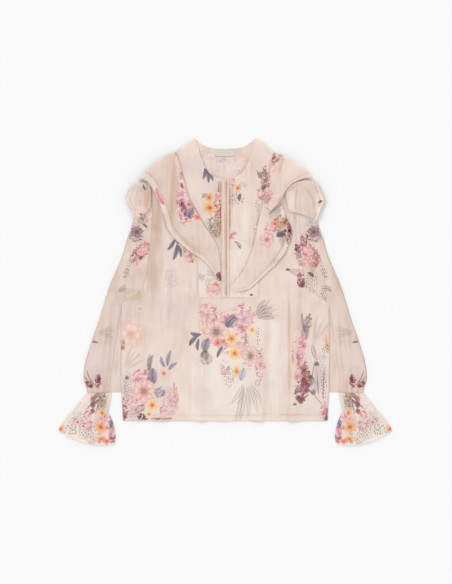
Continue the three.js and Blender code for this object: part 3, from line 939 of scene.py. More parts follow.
FRONT_CENTRE_PRINT = (
    (PINKS, -40, -51, 41, 46, 0),
    (PEACHY, -42, -55, 37, 37, 10),
    (PINKS, -7, -60, 32, 32, 0),
    (PINKS, 36, -57, 60, 51, 20),
    (PEONY, 43, -64, 41, 44, 20),
    *spray(BROWNLEAF, 64, -60, 41, 8.3, (58, 44, 30, 14, 0)),
    *spray(SAGE, 68, -60, 48, 4.6, (51, 37, 22, 7)),
    (INDIGO, -68, -97, 26, 12, 172),
    (INDIGO, -74, -112, 30, 11, 48),
    (INDIGO, -63, -121, 28, 9, 84),
    (COSMOS, -21, -92, 67, 64, 8),
    (VIOLETS, 13, -67, 28, 28, 0),
    (BLUEPETAL, 11, -69, 30, 18.4, 55),
    (PINKS, 2, -124, 28, 37, 0),
    (BLUEPETAL, -44, -122, 34, 20.7, 75),
    (CORAL, -17, -117, 18, 21, 0),
    (PINKS, 34, -110, 32, 69, 0),
    (SUN, 14, -107, 32, 34, 0),
    (SUN, 22, -141, 30, 32, 40),
    (SUN, 26, -182, 21, 34, 0),
    (SUN, 62, -87, 16, 21, 0),
    (ROSEBUD, -44, -152, 28, 32, 20),
    (VIOLETS, -47, -143, 18, 14, 0),
    (DARKLEAF, -13, -138, 30, 9.2, 62),
    (DAISY, 58, -147, 41, 53, 0),
    (PINKS, 80, -170, 21, 55, 0),
    (DOTS, 75, -103, 12, 55, 0),
    (DOTS, 82, -140, 12, 28, 0),
    (DOTS, 9, -195, 28, 55, 0),
    (PINKS, -1, -175, 21, 32, 0),
    (PETALBLUE, 39, -189, 32, 18.4, 75),
    *spray(PENCIL, 48, -200, 55, 8.3, (-120, -108)),
    *spray(PENCIL, 48, -200, 87, 9.2, (-104, -98)),
    *spray(PENCIL, 50, -200, 71, 9.2, (-88, -72)),
    *spray(PENCIL, 52, -200, 55, 8.3, (-60,)),
    (SAGE, 75, -209, 18, 11.5, 60),
)
FRONT_LEFT_PRINT = (
    (HAZE, -185, -225, 130, 130, 0),
    (HAZE, -196, -46, 44, 60, 0),
    (BLUSHES, -217, -94, 44, 64, 0),
    (PEACHY, -217, -97, 51, 60, 10),
    (RUSTS, -235, -122, 12, 23, 0),
    (PEACHY, -196, -38, 24, 20, 0),
    *spray(PENCIL, -237, -184, 51, 5.1, (70, 58, 46, 30)),
    (DUSKLEAF, -144, -161, 28, 10, 112),
    (DUSKLEAF, -130, -152, 38, 11, 78),
    (DUSKLEAF, -121, -170, 26, 11, 40),
    (VIOLETS, -174, -163, 10, 38, -6),
    (VIOLET, -172, -164, 44, 9, 76),
    (PINKS, -189, -195, 51, 32, 0),
    (BLUEPETAL, -166, -193, 37, 23.0, 95),
    (PEACHY, -142, -186, 30, 27, 0),
    (CORAL, -141, -187, 10, 10, 0),
    (NETTING, -224, -214, 21, 78, 0),
    (DAISYPINK, -187, -228, 60, 62, 12),
    (VIOLETS, -150, -230, 22, 24, 0),
    (PETALBLUE, -151, -231, 24, 11, 30),
    (PEONY, -125, -248, 38, 64, 0),
    (PINKS, -118, -244, 18, 60, 0),
    (MAGENTAS, -116, -240, 6, 50, 6),
    (PINKS, -212, -260, 51, 41, 0),
    (WINES, -233, -276, 16, 32, 0),
    (DOTS, -228, -230, 18, 78, 0),
    (NETTING, -212, -276, 28, 37, 0),
    (SUN, -168, -260, 30, 30, 0),
    (SUN, -175, -281, 16, 16, 0),
    (BROWNLEAF, -196, -269, 25, 13.8, 30),
    (RUSTS, -150, -291, 60, 5, 0),
    (WINES, -191, -288, 21, 14, 0),
    (DARKLEAF, -226, -198, 9, 9.2, 0),
    (PINKS, -143, -276, 14, 32, 0),
)
FRONT_RIGHT_PRINT = (
    (HAZE, 195, -190, 80, 170, 0),
    (BLUSHES, 160, -122, 20, 92, 0),
    (MAGENTAS, 155, -138, 4, 50, 0),
    (VIOLETS, 183, -84, 12, 52, -12),
    (VIOLET, 179, -70, 46, 8, 100),
    (VIOLET, 189, -94, 34, 9, 78),
    (RUSTS, 194, -66, 9, 30, 0),
    (PINKS, 173, -150, 22, 76, 6),
    (MAGENTAS, 178, -112, 14, 34, -8),
    (MAGENTAS, 171, -146, 15, 30, 10),
    (MAGENTA, 180, -124, 14, 17, 20),
    (RUSTS, 182, -176, 16, 26, 0),
    (WINES, 181, -198, 32, 41, 0),
    (WINEROSE, 190, -205, 30, 30, 0),
    (RUSTS, 193, -200, 16, 18, 0),
    (WINES, 174, -230, 28, 37, 0),
    (WINEBUD, 173, -248, 18, 21, 40),
    (WINEBUD, 202, -230, 14, 14, 0),
    (WINEBUD, 188, -225, 14, 12, 0),
    (SMOKES, 203, -216, 14, 34, 0),
    (BROWNLEAF, 204, -138, 37, 9.2, 105),
    (DARKLEAF, 210, -166, 12, 11.5, 0),
    (STEM, 202, -182, 64, 2.4, 80),
    (VIOLET, 213, -212, 51, 4.0, 95),
    (STEM, 226, -214, 83, 2.6, 88),
    (STEM, 211, -244, 55, 2.4, 130),
    (NETTING, 218, -184, 28, 92, 0),
    (DOTS, 227, -216, 14, 78, 0),
    (DOTS, 229, -138, 14, 46, 0),
    (PINKS, 229, -276, 18, 41, 0),
    (WINES, 232, -281, 12, 28, 0),
    (PEACHY, 232, -110, 18, 55, 0),
    (RUSTS, 236, -126, 9, 23, 0),
    *spray(PENCIL, 200, -122, 60, 5.5, (80, 66, 52)),
    (PINKS, 167, -193, 18, 23, 0),
    (DARKLEAF, 160, -258, 9, 6.9, 0),
)
BACK_PRINT = (
    (SMOKES, -7, 308, 34, 22, 0),
    (BLUSHES, -34, 300, 44, 40, 0),
    (SMOKES, 41, 278, 28, 14, 30),
    (BLUSHES, 24, 292, 60, 34, 0),
    (BLUSHES, -63, 308, 23, 32, 0),
    (SLATE, -127, 34, 37, 46, 10),
    (SLATE, -168, 106, 37, 138, 0),
    (SLATE, -182, -32, 32, 115, 0),
    (PINKS, -116, -57, 46, 60, 0),
    (PINKS, 137, -57, 46, 60, 0),
)
SLEEVE_PRINT = (
    (VIOLETS, -205, 134, 30, 34, 0),
    (DUSKROSE, -203, 138, 30, 27, 20),
    (NETTING, -196, 156, 32, 12, 0),
    (BRICKS, -197, 92, 58, 22, 50),
    (PINKS, -187, 96, 52, 24, 50),
    (MAGENTAS, -194, 78, 14, 12, 30),
    (MAGENTAS, -205, 65, 14, 10, 30),
    (WINEBUD, -194, 79, 9, 8, 30),
    (DOTS, -226, 48, 12, 44, -20),
    (NETTING, -226, 41, 12, 32, -10),
    *spray(BROWNLEAF, -249, -2, 23, 6.0, (40, 25)),
    *spray(SAGE, -300, -94, 37, 4.6, (8, -4, -14, 18)),
    (DARKLEAF, -300, -115, 18, 4.6, -10),
    (SLATE, -288, -182, 51, 32, 0),
    *spray(STEM, -300, -221, 37, 3.7, (115, 130)),
    (WINES, -313, -212, 21, 14, 0),
    (WINEBUD, -319, -209, 12, 9, 0),
    (WINEBUD, -308, -216, 12, 9, 20),
    (WINES, -292, -205, 14, 28, 0),
    (WINEBUD, -290, -200, 9, 18, 0),
)
# Both sleeves have the print above, mirrored on the right, and each has these as well.
SLEEVE_LEFT_PRINT = (
    (BLUSHES, -189, 172, 34, 32, 0),
    (ROSEBUD, -190, 168, 26, 24, 20),
    (DARKLEAF, -184, 152, 14, 6, -40),
)
SLEEVE_RIGHT_PRINT = (
    (SMOKES, -196, 166, 16, 18, 0),
    (DARKLEAF, -168, 137, 10, 5, 60),
    (WINES, -180, 120, 18, 30, 20),
    (PINKS, -192, 76, 40, 36, 0),
    (RUSTS, -204, 66, 20, 34, 20),
    (DOTS, -198, 22, 30, 60, 0),
    (DARKLEAF, -197, 40, 18, 10, 40),
    (PEACHY, -206, -14, 22, 30, 0),
    (DOTS, -226, -6, 16, 70, 0),
    (NETTING, -214, -34, 34, 40, 0),
)
CUFF_PRINT = (
    (MOSS, -286, -246, 24, 41, 0),
    (WINES, -300, -248, 18, 23, 0),
    *spray(STEM, -290, -239, 37, 3.7, (-100, -118, -135)),
    (WINEBUD, -305, -260, 9, 14, 0),
    (WINEBUD, -304, -274, 12, 12, 0),
    (NETTING, -279, -258, 16, 28, 0),
    (DOTS, -343, -306, 41, 41, 0),
    (DOTS, -356, -316, 44, 28, 0),
    (DOTS, -316, -313, 36, 60, 0),
    (NETTING, -338, -288, 36, 30, 30),
    (NETTING, -318, -330, 44, 26, 0),
    (PINKS, -316, -294, 21, 46, 0),
    (BLUSHES, -295, -294, 16, 51, 0),
    (PINKS, -279, -313, 37, 64, 0),
    (AMBER, -283, -278, 13, 18, 20),
    (AMBER, -286, -310, 27, 30, 0),
    (AMBER, -285, -337, 24, 16, 0),
    (BLUSH, -339, -299, 18, 18, 0),
    (AMBER, -378, -315, 18, 21, 0),
    (VIOLETS, -260, -301, 14, 32, 0),
    (BLUEPETAL, -260, -299, 28, 11.5, 75),
    (PINKLEAF, -260, -324, 28, 13.8, 80),
    (WINES, -258, -336, 14, 23, 0),
    (RUSTS, -300, -343, 32, 12, 0),
    (CORAL, -272, -343, 21, 14, 0),
)


# The middle bouquet's upper and lower halves, in millimetres
Box = tuple[tuple[float, float], tuple[float, float]]
MIDDLE: Box = ((-83.0, -118.0), (122.0, -4.0))
LOW: Box = ((-83.0, -300.0), (122.0, -118.0))
# How far a motif reaches from its middle, as a share of its larger side
MOTIF_REACH = 0.6


def within(rows: Sequence[Row], box: Box) -> tuple[Row, ...]:
    """The motifs of a print that reach into a rectangle.

    Args:
        rows: the print.
        box: the rectangle's lowest and highest corner, in millimetres.

    Returns:
        Their rows.
    """
    low, high = box
    kept = []
    for row in rows:
        reach = MOTIF_REACH * max(row[3], row[4])
        inside = (low[k] - reach < row[1 + k] < high[k] + reach for k in range(2))
        if all(inside):
            kept.append(row)
    return tuple(kept)


# Where a flower's and a leaf's paint starts to thin out, as a share of the way to its rim
FLOWER_EDGE = 0.78
LEAF_EDGE = 0.8
Socket = bpy.types.NodeSocket
Adder = Callable[..., Sequence[Socket]]


@dataclass
class Press:
    """Draws the print: a shader node group for each kind of motif, laid over one another.

    Each kind has a method that draws it. It is given the function that adds nodes to the group,
    the group's inputs and the place in the motif, which is 1 or -1 at its rim. It returns the
    sockets of the motif's mask and colour. A RANGE node with SOFT is a soft step: it is 0 at its
    first end and 1 at its second. Numbers in them are shares of the motif's half size, or how
    much of one tone goes over another.
    """

    groups: dict[Motif, bpy.types.NodeTree] = field(default_factory=dict)

    INPUTS: ClassVar[tuple[tuple[str, str], ...]] = (
        ("Place", "NodeSocketVector"),
        ("Ink", "NodeSocketColor"),
        ("Cover", "NodeSocketFloat"),
        ("Centre", "NodeSocketVector"),
        ("Turn", "NodeSocketVector"),
        ("Size", "NodeSocketVector"),
        ("Heart", "NodeSocketColor"),
        ("Body", "NodeSocketColor"),
        ("Rim", "NodeSocketColor"),
        ("Detail", "NodeSocketFloat"),
        ("Depth", "NodeSocketFloat"),
        ("Strength", "NodeSocketFloat"),
    )

    def group(self, motif: Motif) -> bpy.types.NodeTree:
        """The node group of a kind of motif, made the first time it is asked for.

        Args:
            motif: the kind.

        Returns:
            The node group.
        """
        if motif in self.groups:
            return self.groups[motif]
        tree = bpy.data.node_groups.new(motif.value, "ShaderNodeTree")
        for name, kind in self.INPUTS:
            tree.interface.new_socket(name, in_out="INPUT", socket_type=kind)
        tree.interface.new_socket("Ink", in_out="OUTPUT", socket_type="NodeSocketColor")
        tree.interface.new_socket("Cover", in_out="OUTPUT", socket_type="NodeSocketFloat")
        add = partial(add_node, tree)
        given = add("NodeGroupInput")
        frame_of = (given[name] for name in ("Place", "Centre", "Turn", "Size"))
        local = add("ShaderNodeMapping", {"vector_type": "TEXTURE"}, *frame_of)[0]
        draw = {
            Motif.FLOWER: self.flower,
            Motif.LEAF: self.leaf,
            Motif.LINES: self.lines,
            Motif.PETALS: self.petals,
            Motif.DOTS: partial(self.sprig, "F1"),
            Motif.NETTING: partial(self.sprig, "DISTANCE_TO_EDGE"),
        }[motif]
        mask, colour = draw(add, given, local)
        weight = add(MATH, TIMES, mask, given["Strength"])[0]
        ink = add(MIX, COLOURS, weight, _6=given["Ink"], _7=colour)[2]
        add("NodeGroupOutput", None, ink, add(MATH, MOST, given["Cover"], weight)[0])
        self.groups[motif] = tree
        return tree

    def flower(self, add: Adder, given: Sequence[Socket], local: Socket) -> tuple[Socket, Socket]:
        """Petals round a heart: pale within, darker along their edges, their veins and their feet.

        Args:
            add: adds a node to the group.
            given: the group's inputs.
            local: place in the flower.

        Returns:
            The sockets of its mask and its colour.
        """
        blur = add(NOISE, FLAT, given["Place"], Scale=0.16, Detail=2.0)["Fac"]
        east, north = add("ShaderNodeSeparateXYZ", None, local)[:2]
        radius = add(VECTOR, LENGTH, local)["Value"]
        angle = add(MATH, {"operation": "ARCTAN2"}, north, east)[0]
        swing = add(MATH, TIMES, angle, given["Detail"])[0]
        swing = add(MATH, TIMES_PLUS, blur, 3.6, swing)[0]
        petal = add(MATH, {"operation": "COSINE"}, add(MATH, TIMES, swing, 0.5)[0])[0]
        petal = add(MATH, POWER, add(MATH, SIZE_OF, petal)[0], 0.6)[0]
        gap = add(MATH, TIMES, add(MATH, MINUS, 1.0, petal)[0], given["Depth"])[0]
        reach = add(MATH, MINUS, 0.7, gap)[0]
        reach = add(MATH, TIMES_PLUS, blur, 0.78, reach)[0]
        share = add(MATH, OVER, radius, reach)[0]
        mask = add(RANGE, SOFT, share, 1.0, FLOWER_EDGE)[0]
        vein = add(MATH, SINE, add(MATH, TIMES, swing, 4.0)[0])[0]
        outer, cleft = add(RANGE, SOFT, share, 0.6, 0.92)[0], add(RANGE, SOFT, petal, 0.62, 0.2)[0]
        edge = add(MATH, MOST, add(MATH, MOST, outer, cleft)[0], add(MATH, TIMES, vein, 0.7)[0])[0]
        colour = add(MIX, COLOURS, edge, _6=given["Body"], _7=given["Rim"])[2]
        foot = add(MATH, TIMES, add(RANGE, SOFT, radius, 0.62, 0.2)[0], 0.6)[0]
        line = add(MATH, TIMES, add(RANGE, SOFT, share, 0.84, 0.98)[0], 0.4)[0]
        colour = add(MIX, COLOURS, add(MATH, MOST, foot, line)[0], _6=colour, _7=given["Heart"])[2]
        near = add(MATH, TIMES_PLUS, blur, 0.2, radius)[0]
        heart = add(RANGE, SOFT, near, 0.38, 0.26)[0]
        return mask, add(MIX, COLOURS, heart, _6=colour, _7=given["Heart"])[2]

    def lens(self, add: Adder, given: Sequence[Socket], local: Socket) -> tuple[Socket, ...]:
        """The bent, pointed shape of a leaf.

        Args:
            add: adds a node to the group.
            given: the group's inputs.
            local: place in the leaf, its ends at -1 and 1 along X.

        Returns:
            The sockets of the share along it, its square, the distance off its rib, and the
            share of that from the rib to its edge.
        """
        along, beside = add("ShaderNodeSeparateXYZ", None, local)[:2]
        square = add(MATH, TIMES, along, along)[0]
        bend = add(MATH, TIMES, given["Detail"], 2.0)[0]
        middle = add(MATH, TIMES, bend, add(MATH, MINUS, 0.5, square)[0])[0]
        off = add(MATH, SIZE_OF, add(MATH, MINUS, beside, middle)[0])[0]
        width = add(MATH, MOST, add(MATH, MINUS, 1.0, square)[0], 0.001)[0]
        share = add(MATH, OVER, off, add(MATH, POWER, width, 0.8)[0])[0]
        return along, square, off, share

    def leaf(self, add: Adder, given: Sequence[Socket], local: Socket) -> tuple[Socket, Socket]:
        """A leaf, petal or stem with a rib, dark edges and a feathered outline.

        Args:
            add: adds a node to the group.
            given: the group's inputs.
            local: place in the leaf.

        Returns:
            The sockets of its mask and its colour.
        """
        along, square, off, share = self.lens(add, given, local)
        barb = add(MATH, TIMES_PLUS, off, -4.0, add(MATH, TIMES, along, 26.0)[0])[0]
        barb = add(MATH, TIMES, add(MATH, SINE, barb)[0], given["Depth"])[0]
        edge = add(MATH, TIMES_PLUS, barb, 0.5, share)[0]
        mask = add(RANGE, SOFT, edge, 1.0, LEAF_EDGE)[0]
        mask = add(MATH, TIMES, mask, add(RANGE, SOFT, square, 1.0, 0.9)[0])[0]
        tone = add(MATH, TIMES_PLUS, along, 0.5, 0.5)[0]
        tone = add(MATH, TIMES_PLUS, barb, 1.2, tone)[0]
        colour = add(MIX, COLOURS, tone, _6=given["Body"], _7=given["Rim"])[2]
        edging = add(MATH, TIMES, add(RANGE, SOFT, share, 0.5, 1.0)[0], 0.6)[0]
        rib = add(MATH, TIMES, add(RANGE, SOFT, off, 0.3, 0.1)[0], 0.8)[0]
        dark = add(MATH, MOST, edging, rib)[0]
        return mask, add(MIX, COLOURS, dark, _6=colour, _7=given["Heart"])[2]

    def lines(self, add: Adder, given: Sequence[Socket], local: Socket) -> tuple[Socket, Socket]:
        """A leaf drawn in pencil: its outline and rib, with hardly any fill.

        Args:
            add: adds a node to the group.
            given: the group's inputs.
            local: place in the leaf.

        Returns:
            The sockets of its mask and its colour.
        """
        _, square, off, share = self.lens(add, given, local)
        outline = add(MATH, MINUS, share, 0.8)[0]
        outline = add(RANGE, SOFT, add(MATH, SIZE_OF, outline)[0], 0.3, 0.08)[0]
        rib = add(RANGE, SOFT, off, 0.2, 0.04)[0]
        stroke = add(MATH, MOST, outline, add(MATH, TIMES, rib, given["Depth"])[0])[0]
        fill = add(RANGE, SOFT, share, 1.0, 0.9, 0.0, 0.22)[0]
        mask = add(MATH, MOST, stroke, fill)[0]
        mask = add(MATH, TIMES, mask, add(RANGE, SOFT, square, 1.0, 0.92)[0])[0]
        return mask, add(MIX, COLOURS, stroke, _6=given["Rim"], _7=given["Body"])[2]

    def petals(self, add: Adder, given: Sequence[Socket], local: Socket) -> tuple[Socket, Socket]:
        """Loose petals of uneven tone in a ragged oval, each with a darker edge.

        Args:
            add: adds a node to the group.
            given: the group's inputs.
            local: place in the oval.

        Returns:
            The sockets of its mask and its colour.
        """
        blur = add(NOISE, FLAT, given["Place"], Scale=0.22, Detail=2.0)["Fac"]
        swirl = add(VECTOR, TIMES_PLUS, blur, (16, 9, 0), given["Place"])[0]
        pitch = add(MATH, OVER, 1.0, given["Detail"])[0]
        cells = add(CELLS, {"voronoi_dimensions": "2D"}, swirl, Scale=pitch)
        hue, dark, absent = add("ShaderNodeSeparateColor", None, cells["Color"])[:3]
        colour = add(MIX, COLOURS, hue, _6=given["Body"], _7=given["Rim"])[2]
        line = add(RANGE, SOFT, cells["Distance"], 0.4, 0.62, 0.0, 0.6)[0]
        dark = add(MATH, MOST, add(RANGE, SOFT, dark, 0.3, 0.18)[0], line)[0]
        colour = add(MIX, COLOURS, dark, _6=colour, _7=given["Heart"])[2]
        kept = add(MATH, {"operation": "GREATER_THAN"}, absent, given["Depth"])[0]
        ragged = add(MATH, TIMES_PLUS, blur, 1.1, add(VECTOR, LENGTH, local)["Value"])[0]
        mask = add(RANGE, SOFT, ragged, 1.76, 1.54)[0]
        return add(MATH, TIMES, mask, kept)[0], colour

    def sprig(
        self, feature: str, add: Adder, given: Sequence[Socket], local: Socket
    ) -> tuple[Socket, Socket]:
        """Small dots, or a fine net, in a soft oval.

        Args:
            feature: what the cells show: F1 for dots, DISTANCE_TO_EDGE for a net.
            add: adds a node to the group.
            given: the group's inputs.
            local: place in the oval.

        Returns:
            The sockets of its mask and its colour.
        """
        pitch = add(MATH, OVER, 1.0, given["Detail"])[0]
        settings = {"feature": feature, "voronoi_dimensions": "2D"}
        cells = add(CELLS, settings, given["Place"], Scale=pitch)["Distance"]
        inner = add(MATH, TIMES, given["Depth"], 0.55)[0]
        mark = add(RANGE, SOFT, cells, given["Depth"], inner)[0]
        oval = add(RANGE, SOFT, add(VECTOR, LENGTH, local)["Value"], 1.05, 0.75)[0]
        return add(MATH, TIMES, mark, oval)[0], given["Body"]

    def print_over(
        self, tree: bpy.types.NodeTree, rows: Sequence[Row], place: Socket, cloth: Socket
    ) -> tuple[Socket, Socket | float]:
        """Lays the motifs of a print on the cloth's colour, the first one lowest.

        Args:
            tree: the material's tree.
            rows: the print's motifs.
            place: place in the print, in millimetres.
            cloth: the cloth's own colour.

        Returns:
            The printed colour and how much ink covers the cloth.
        """
        ink, cover = cloth, 0.0
        for style, x, y, length, width, turn in rows:
            ink, cover = add_node(
                tree,
                "ShaderNodeGroup",
                {"node_tree": self.group(style.motif)},
                place,
                ink,
                cover,
                (x, y, 0),
                (0, 0, math.radians(turn)),
                (length / 2, width / 2, 1),
                *(linear(tone) for tone in (style.heart, style.body, style.rim)),
                *style.detail,
                style.strength,
            )
        return ink, cover


@dataclass(frozen=True)
class Chiffon:
    """Polyester chiffon, woven of crimped yarn and printed by heat transfer.

    It is sheer and matt, milky where layers lie on each other and tan in its gathers. Sizes end
    in _mm. Tones run from pale, below 0, over the plain cloth to shaded and gathered, and _at
    says where each of these is reached. Pale stands for thinner cloth and painted light, shaded
    for painted shade, and gathered for deep gathers and painted shade in folds and under edges.
    """

    name: str
    print_rows: tuple[Row, ...] = ()
    tone: float = 0.0
    cloth: str = "EDDBD0"
    pale: str = "F3EAE0"
    shaded: str = "CFB8A9"
    gathered: str = "BC957A"
    lilac: str = "DDCFCB"
    cover: float = 0.68
    inked: float = 0.86
    weave_mm: float = 2.4
    cloud_mm: float = 55.0
    cloud_tone: float = 0.44
    lilac_mm: float = 83.0
    lilac_share: float = 0.36
    crease_mm: float = 6.5
    crease_long_mm: float = 62.5
    crease_shade_depth: float = 0.36
    pale_at: float = -0.32
    shaded_at: float = 0.35
    gathered_at: float = 1.1
    thickens: float = 1.6

    def make(self, press: Press) -> bpy.types.Material:
        """Builds the material.

        Args:
            press: draws the print.

        Returns:
            The material.
        """
        material = bpy.data.materials.new(self.name)
        material.use_nodes = True
        tree = material.node_tree
        tree.nodes.clear()
        add = partial(add_node, tree)
        layout = add("ShaderNodeUVMap", {"uv_map": PRINT_MAP})[0]
        place = add(VECTOR, {"operation": "SCALE"}, layout, Scale=1 / MM)[0]
        gather_and_shade = add("ShaderNodeAttribute", {"attribute_name": GATHER_AND_SHADE})["Fac"]
        # Chiffon takes the light unevenly where it lies loosely on what is below it.
        cloud = add(NOISE, FLAT, place, Scale=1 / self.cloud_mm, Detail=2.0)["Fac"]
        middling = self.tone - self.cloud_tone / 2
        tone_and_shade = add(MATH, TIMES_PLUS, cloud, self.cloud_tone, middling)[0]
        # The attribute brings gathers with painted shade, and painted light where it is below 0.
        tone_and_shade = add(MATH, PLUS, tone_and_shade, gather_and_shade)[0]
        # Fine upright creases, which soft chiffon keeps from hanging, painted as shade and light
        pitch = (1 / self.crease_mm, 1 / self.crease_long_mm, 0.0)
        narrow = add(VECTOR, TIMES, place, pitch)[0]
        crease_shade = add(NOISE, FLAT, narrow, Scale=1.0, Detail=2.0)["Fac"]
        crease_shade = add(MATH, TIMES_PLUS, crease_shade, self.crease_shade_depth, -self.crease_shade_depth / 2)[0]
        tone_and_shade = add(MATH, PLUS, tone_and_shade, crease_shade)[0]
        cloth = linear(self.cloth)
        ends = (
            (0.0, self.pale_at, self.pale),
            (0.0, self.shaded_at, self.shaded),
            (self.shaded_at, self.gathered_at, self.gathered),
        )
        for low, high, tone in ends:
            share = add(RANGE, None, tone_and_shade, low, high)[0]
            cloth = add(MIX, COLOURS, share, _6=cloth, _7=linear(tone))[2]
        blush = add(NOISE, FLAT, place, Scale=1 / self.lilac_mm, Detail=1.0)["Fac"]
        blush = add(RANGE, SOFT, blush, 0.5, 0.72, 0.0, self.lilac_share)[0]
        cloth = add(MIX, COLOURS, blush, _6=cloth, _7=linear(self.lilac))[2]
        colour, cover = press.print_over(tree, self.print_rows, place, cloth)
        # Where cloth is gathered, several layers hide more of what lies below than one does.
        thick = add(MATH, MOST, tone_and_shade, -0.1)[0]
        thick = add(MATH, TIMES_PLUS, thick, self.thickens, 1.0)[0]
        veil = add(MATH, MINUS, 1.0, add(MATH, POWER, 1 - self.cover, thick)[0])[0]
        alpha = add(MATH, MOST, veil, add(MATH, TIMES, cover, self.inked)[0])[0]
        # Threads, drawn coarser than the real 0.1 mm ones so that they show at all
        weave = add(NOISE, FLAT, place, Scale=1 / self.weave_mm, Detail=3.0)["Fac"]
        relief = add("ShaderNodeBump", Height=weave, Strength=0.12, Distance=0.0003)[0]
        surface = add(
            "ShaderNodeBsdfPrincipled",
            Base_Color=colour,
            Roughness=0.85,
            IOR=1.5,
            Alpha=alpha,
            Normal=relief,
            Specular_IOR_Level=0.2,
        )[0]
        add("ShaderNodeOutputMaterial", Surface=surface)
        return material


@dataclass(frozen=True)
class PlainFinish:
    """An opaque finish of one colour: woven tape, sewing thread or a painted table.

    Its grain is that of the threads or of the paint, its size in millimetres and its strength
    as a share.
    """

    name: str
    colour: str
    roughness: float
    grain_mm: float
    grain: float

    def make(self, press: Press) -> bpy.types.Material:
        """Builds the material.

        Args:
            press: not used, as a plain finish has no print to draw.

        Returns:
            The material.
        """
        material = bpy.data.materials.new(self.name)
        material.use_nodes = True
        tree = material.node_tree
        tree.nodes.clear()
        add = partial(add_node, tree)
        at = add("ShaderNodeTexCoord")["Object"]
        grain = add(NOISE, None, at, Scale=1 / (self.grain_mm * MM), Detail=2.0)["Fac"]
        relief = add("ShaderNodeBump", Height=grain, Strength=self.grain, Distance=0.0002)[0]
        surface = add(
            "ShaderNodeBsdfPrincipled",
            Base_Color=linear(self.colour),
            Roughness=self.roughness,
            Normal=relief,
            Specular_IOR_Level=0.2,
        )[0]
        add("ShaderNodeOutputMaterial", Surface=surface)
        return material


@dataclass
class Wardrobe:
    """The finishes of the blouse by name, each made once."""

    press: Press = field(default_factory=Press)
    made: dict[str, bpy.types.Material] = field(default_factory=dict)

    FINISHES: ClassVar[tuple[Chiffon | PlainFinish, ...]] = (
        # One sheer layer, matt, through which what lies below shows pale
        Chiffon(PLAIN),
        # The same cloth with transfer print, whose ink is opaque enough to hide the layer below.
        # The tone is what lies under each piece, milky over white and tan over gathered cloth, and
        # is also painted shade over the whole piece, and painted light where it is below 0.
        Chiffon("Printed chiffon, yoke left", YOKE_LEFT_PRINT, 0.04),
        Chiffon("Printed chiffon, yoke right", YOKE_RIGHT_PRINT, 0.08),
        Chiffon("Printed chiffon, frill left", RUFFLE_LEFT_PRINT, 0.2),
        Chiffon("Printed chiffon, frill right", RUFFLE_RIGHT_PRINT, 0.08),
        Chiffon("Printed chiffon, caps", CAP_PRINT, 0.18),
        Chiffon("Printed chiffon, bib", BIB_PRINT, -0.14),
        Chiffon("Printed chiffon, front middle", within(FRONT_CENTRE_PRINT, MIDDLE)),
        Chiffon("Printed chiffon, front low", within(FRONT_CENTRE_PRINT, LOW), -0.12),
        Chiffon("Printed chiffon, front left", FRONT_LEFT_PRINT),
        Chiffon("Printed chiffon, front right", FRONT_RIGHT_PRINT),
        Chiffon("Printed chiffon, front upper", FRONT_UPPER_PRINT),
        Chiffon("Printed chiffon, front side", FRONT_SIDE_PRINT),
        Chiffon("Printed chiffon, back", BACK_PRINT, 0.12),
        Chiffon("Printed chiffon, sleeve left", SLEEVE_LEFT_PRINT + SLEEVE_PRINT, 0.14),
        Chiffon("Printed chiffon, sleeve right", SLEEVE_PRINT + SLEEVE_RIGHT_PRINT, 0.12),
        Chiffon("Printed chiffon, cuffs", CUFF_PRINT, -0.3),
        # Greenish grey, smooth and a little brighter where it faces the light
        PlainFinish(TAPE, "C1C1B4", 0.5, 0.8, 0.3),
        # Cream, with a faint gloss on each stitch; its twist is drawn coarser than real
        PlainFinish(THREAD, "E6D6C6", 0.6, 0.3, 0.1),
        # Matt white that keeps the shadows round the blouse soft
        PlainFinish(TABLETOP, "E2E2E2", 0.9, 3.0, 0.02),
    )

    def __getitem__(self, name: str) -> bpy.types.Material:
        """The material of a name, made the first time.

        Args:
            name: the finish's name.

        Returns:
            The material.
        """
        if name not in self.made:
            finish = next(finish for finish in self.FINISHES if finish.name == name)
            self.made[name] = finish.make(self.press)
        return self.made[name]


# ---------------------------------------------------------------------------------------------
# Pieces


# Where the front is painted darker or, below 0, paler, as it lies in the photograph:
# painted shade in its folds and by the armholes, painted light on ridges, its doubled hem
FRONT_LIGHT_SHADE_AND_HEM = (
    Fold((-172, 270), (-166, 70), 0.36, 9, fade=0.45),
    Fold((-156, 250), (-156, 60), 0.4, 12, fade=0.4),
    Fold((160, 190), (172, 60), 0.5, 6, bend=-3, fade=0.2),
    Fold((-166, 225), (-168, -40), 0.34, 34, fade=0.3),
    Fold((-141, 150), (-141, 20), -0.14, 5),
    Fold((-206, 20), (-216, -130), 0.5, 34, fade=0.2),
    Fold((-145, 140), (-142, 10), 0.24, 11),
    Fold((-133, 66), (-140, -100), -0.34, 11),
    Fold((-143, 0), (-147, -96), 0.16, 3.4),
    Fold((-108, 10), (-106, -140), 0.14, 32),
    Fold((-59, -10), (-58, -285), 0.4, 3.2, fade=0.1),
    Fold((-80, -150), (-81, -292), 0.3, 3.2),
    Fold((0, -30), (0, -300), -0.36, 90, fade=0.1, open_end=True),
    Fold((-120, -190), (-70, -300), -0.2, 44, open_end=True),
    Fold((84, -80), (88, -270), 0.2, 10),
    Fold((116, -20), (118, -290), -0.36, 24),
    Fold((146, 50), (148, -290), 0.4, 4),
    Fold((170, 30), (176, -120), 0.16, 18),
    Fold((60, 220), (50, 60), -0.3, 26),
    Fold((-236, -283), (236, -283), 0.4, 2.4, fade=0.02),
    Fold((-236, -295.5), (236, -295.5), 0.5, 2.4, fade=0.02),
)


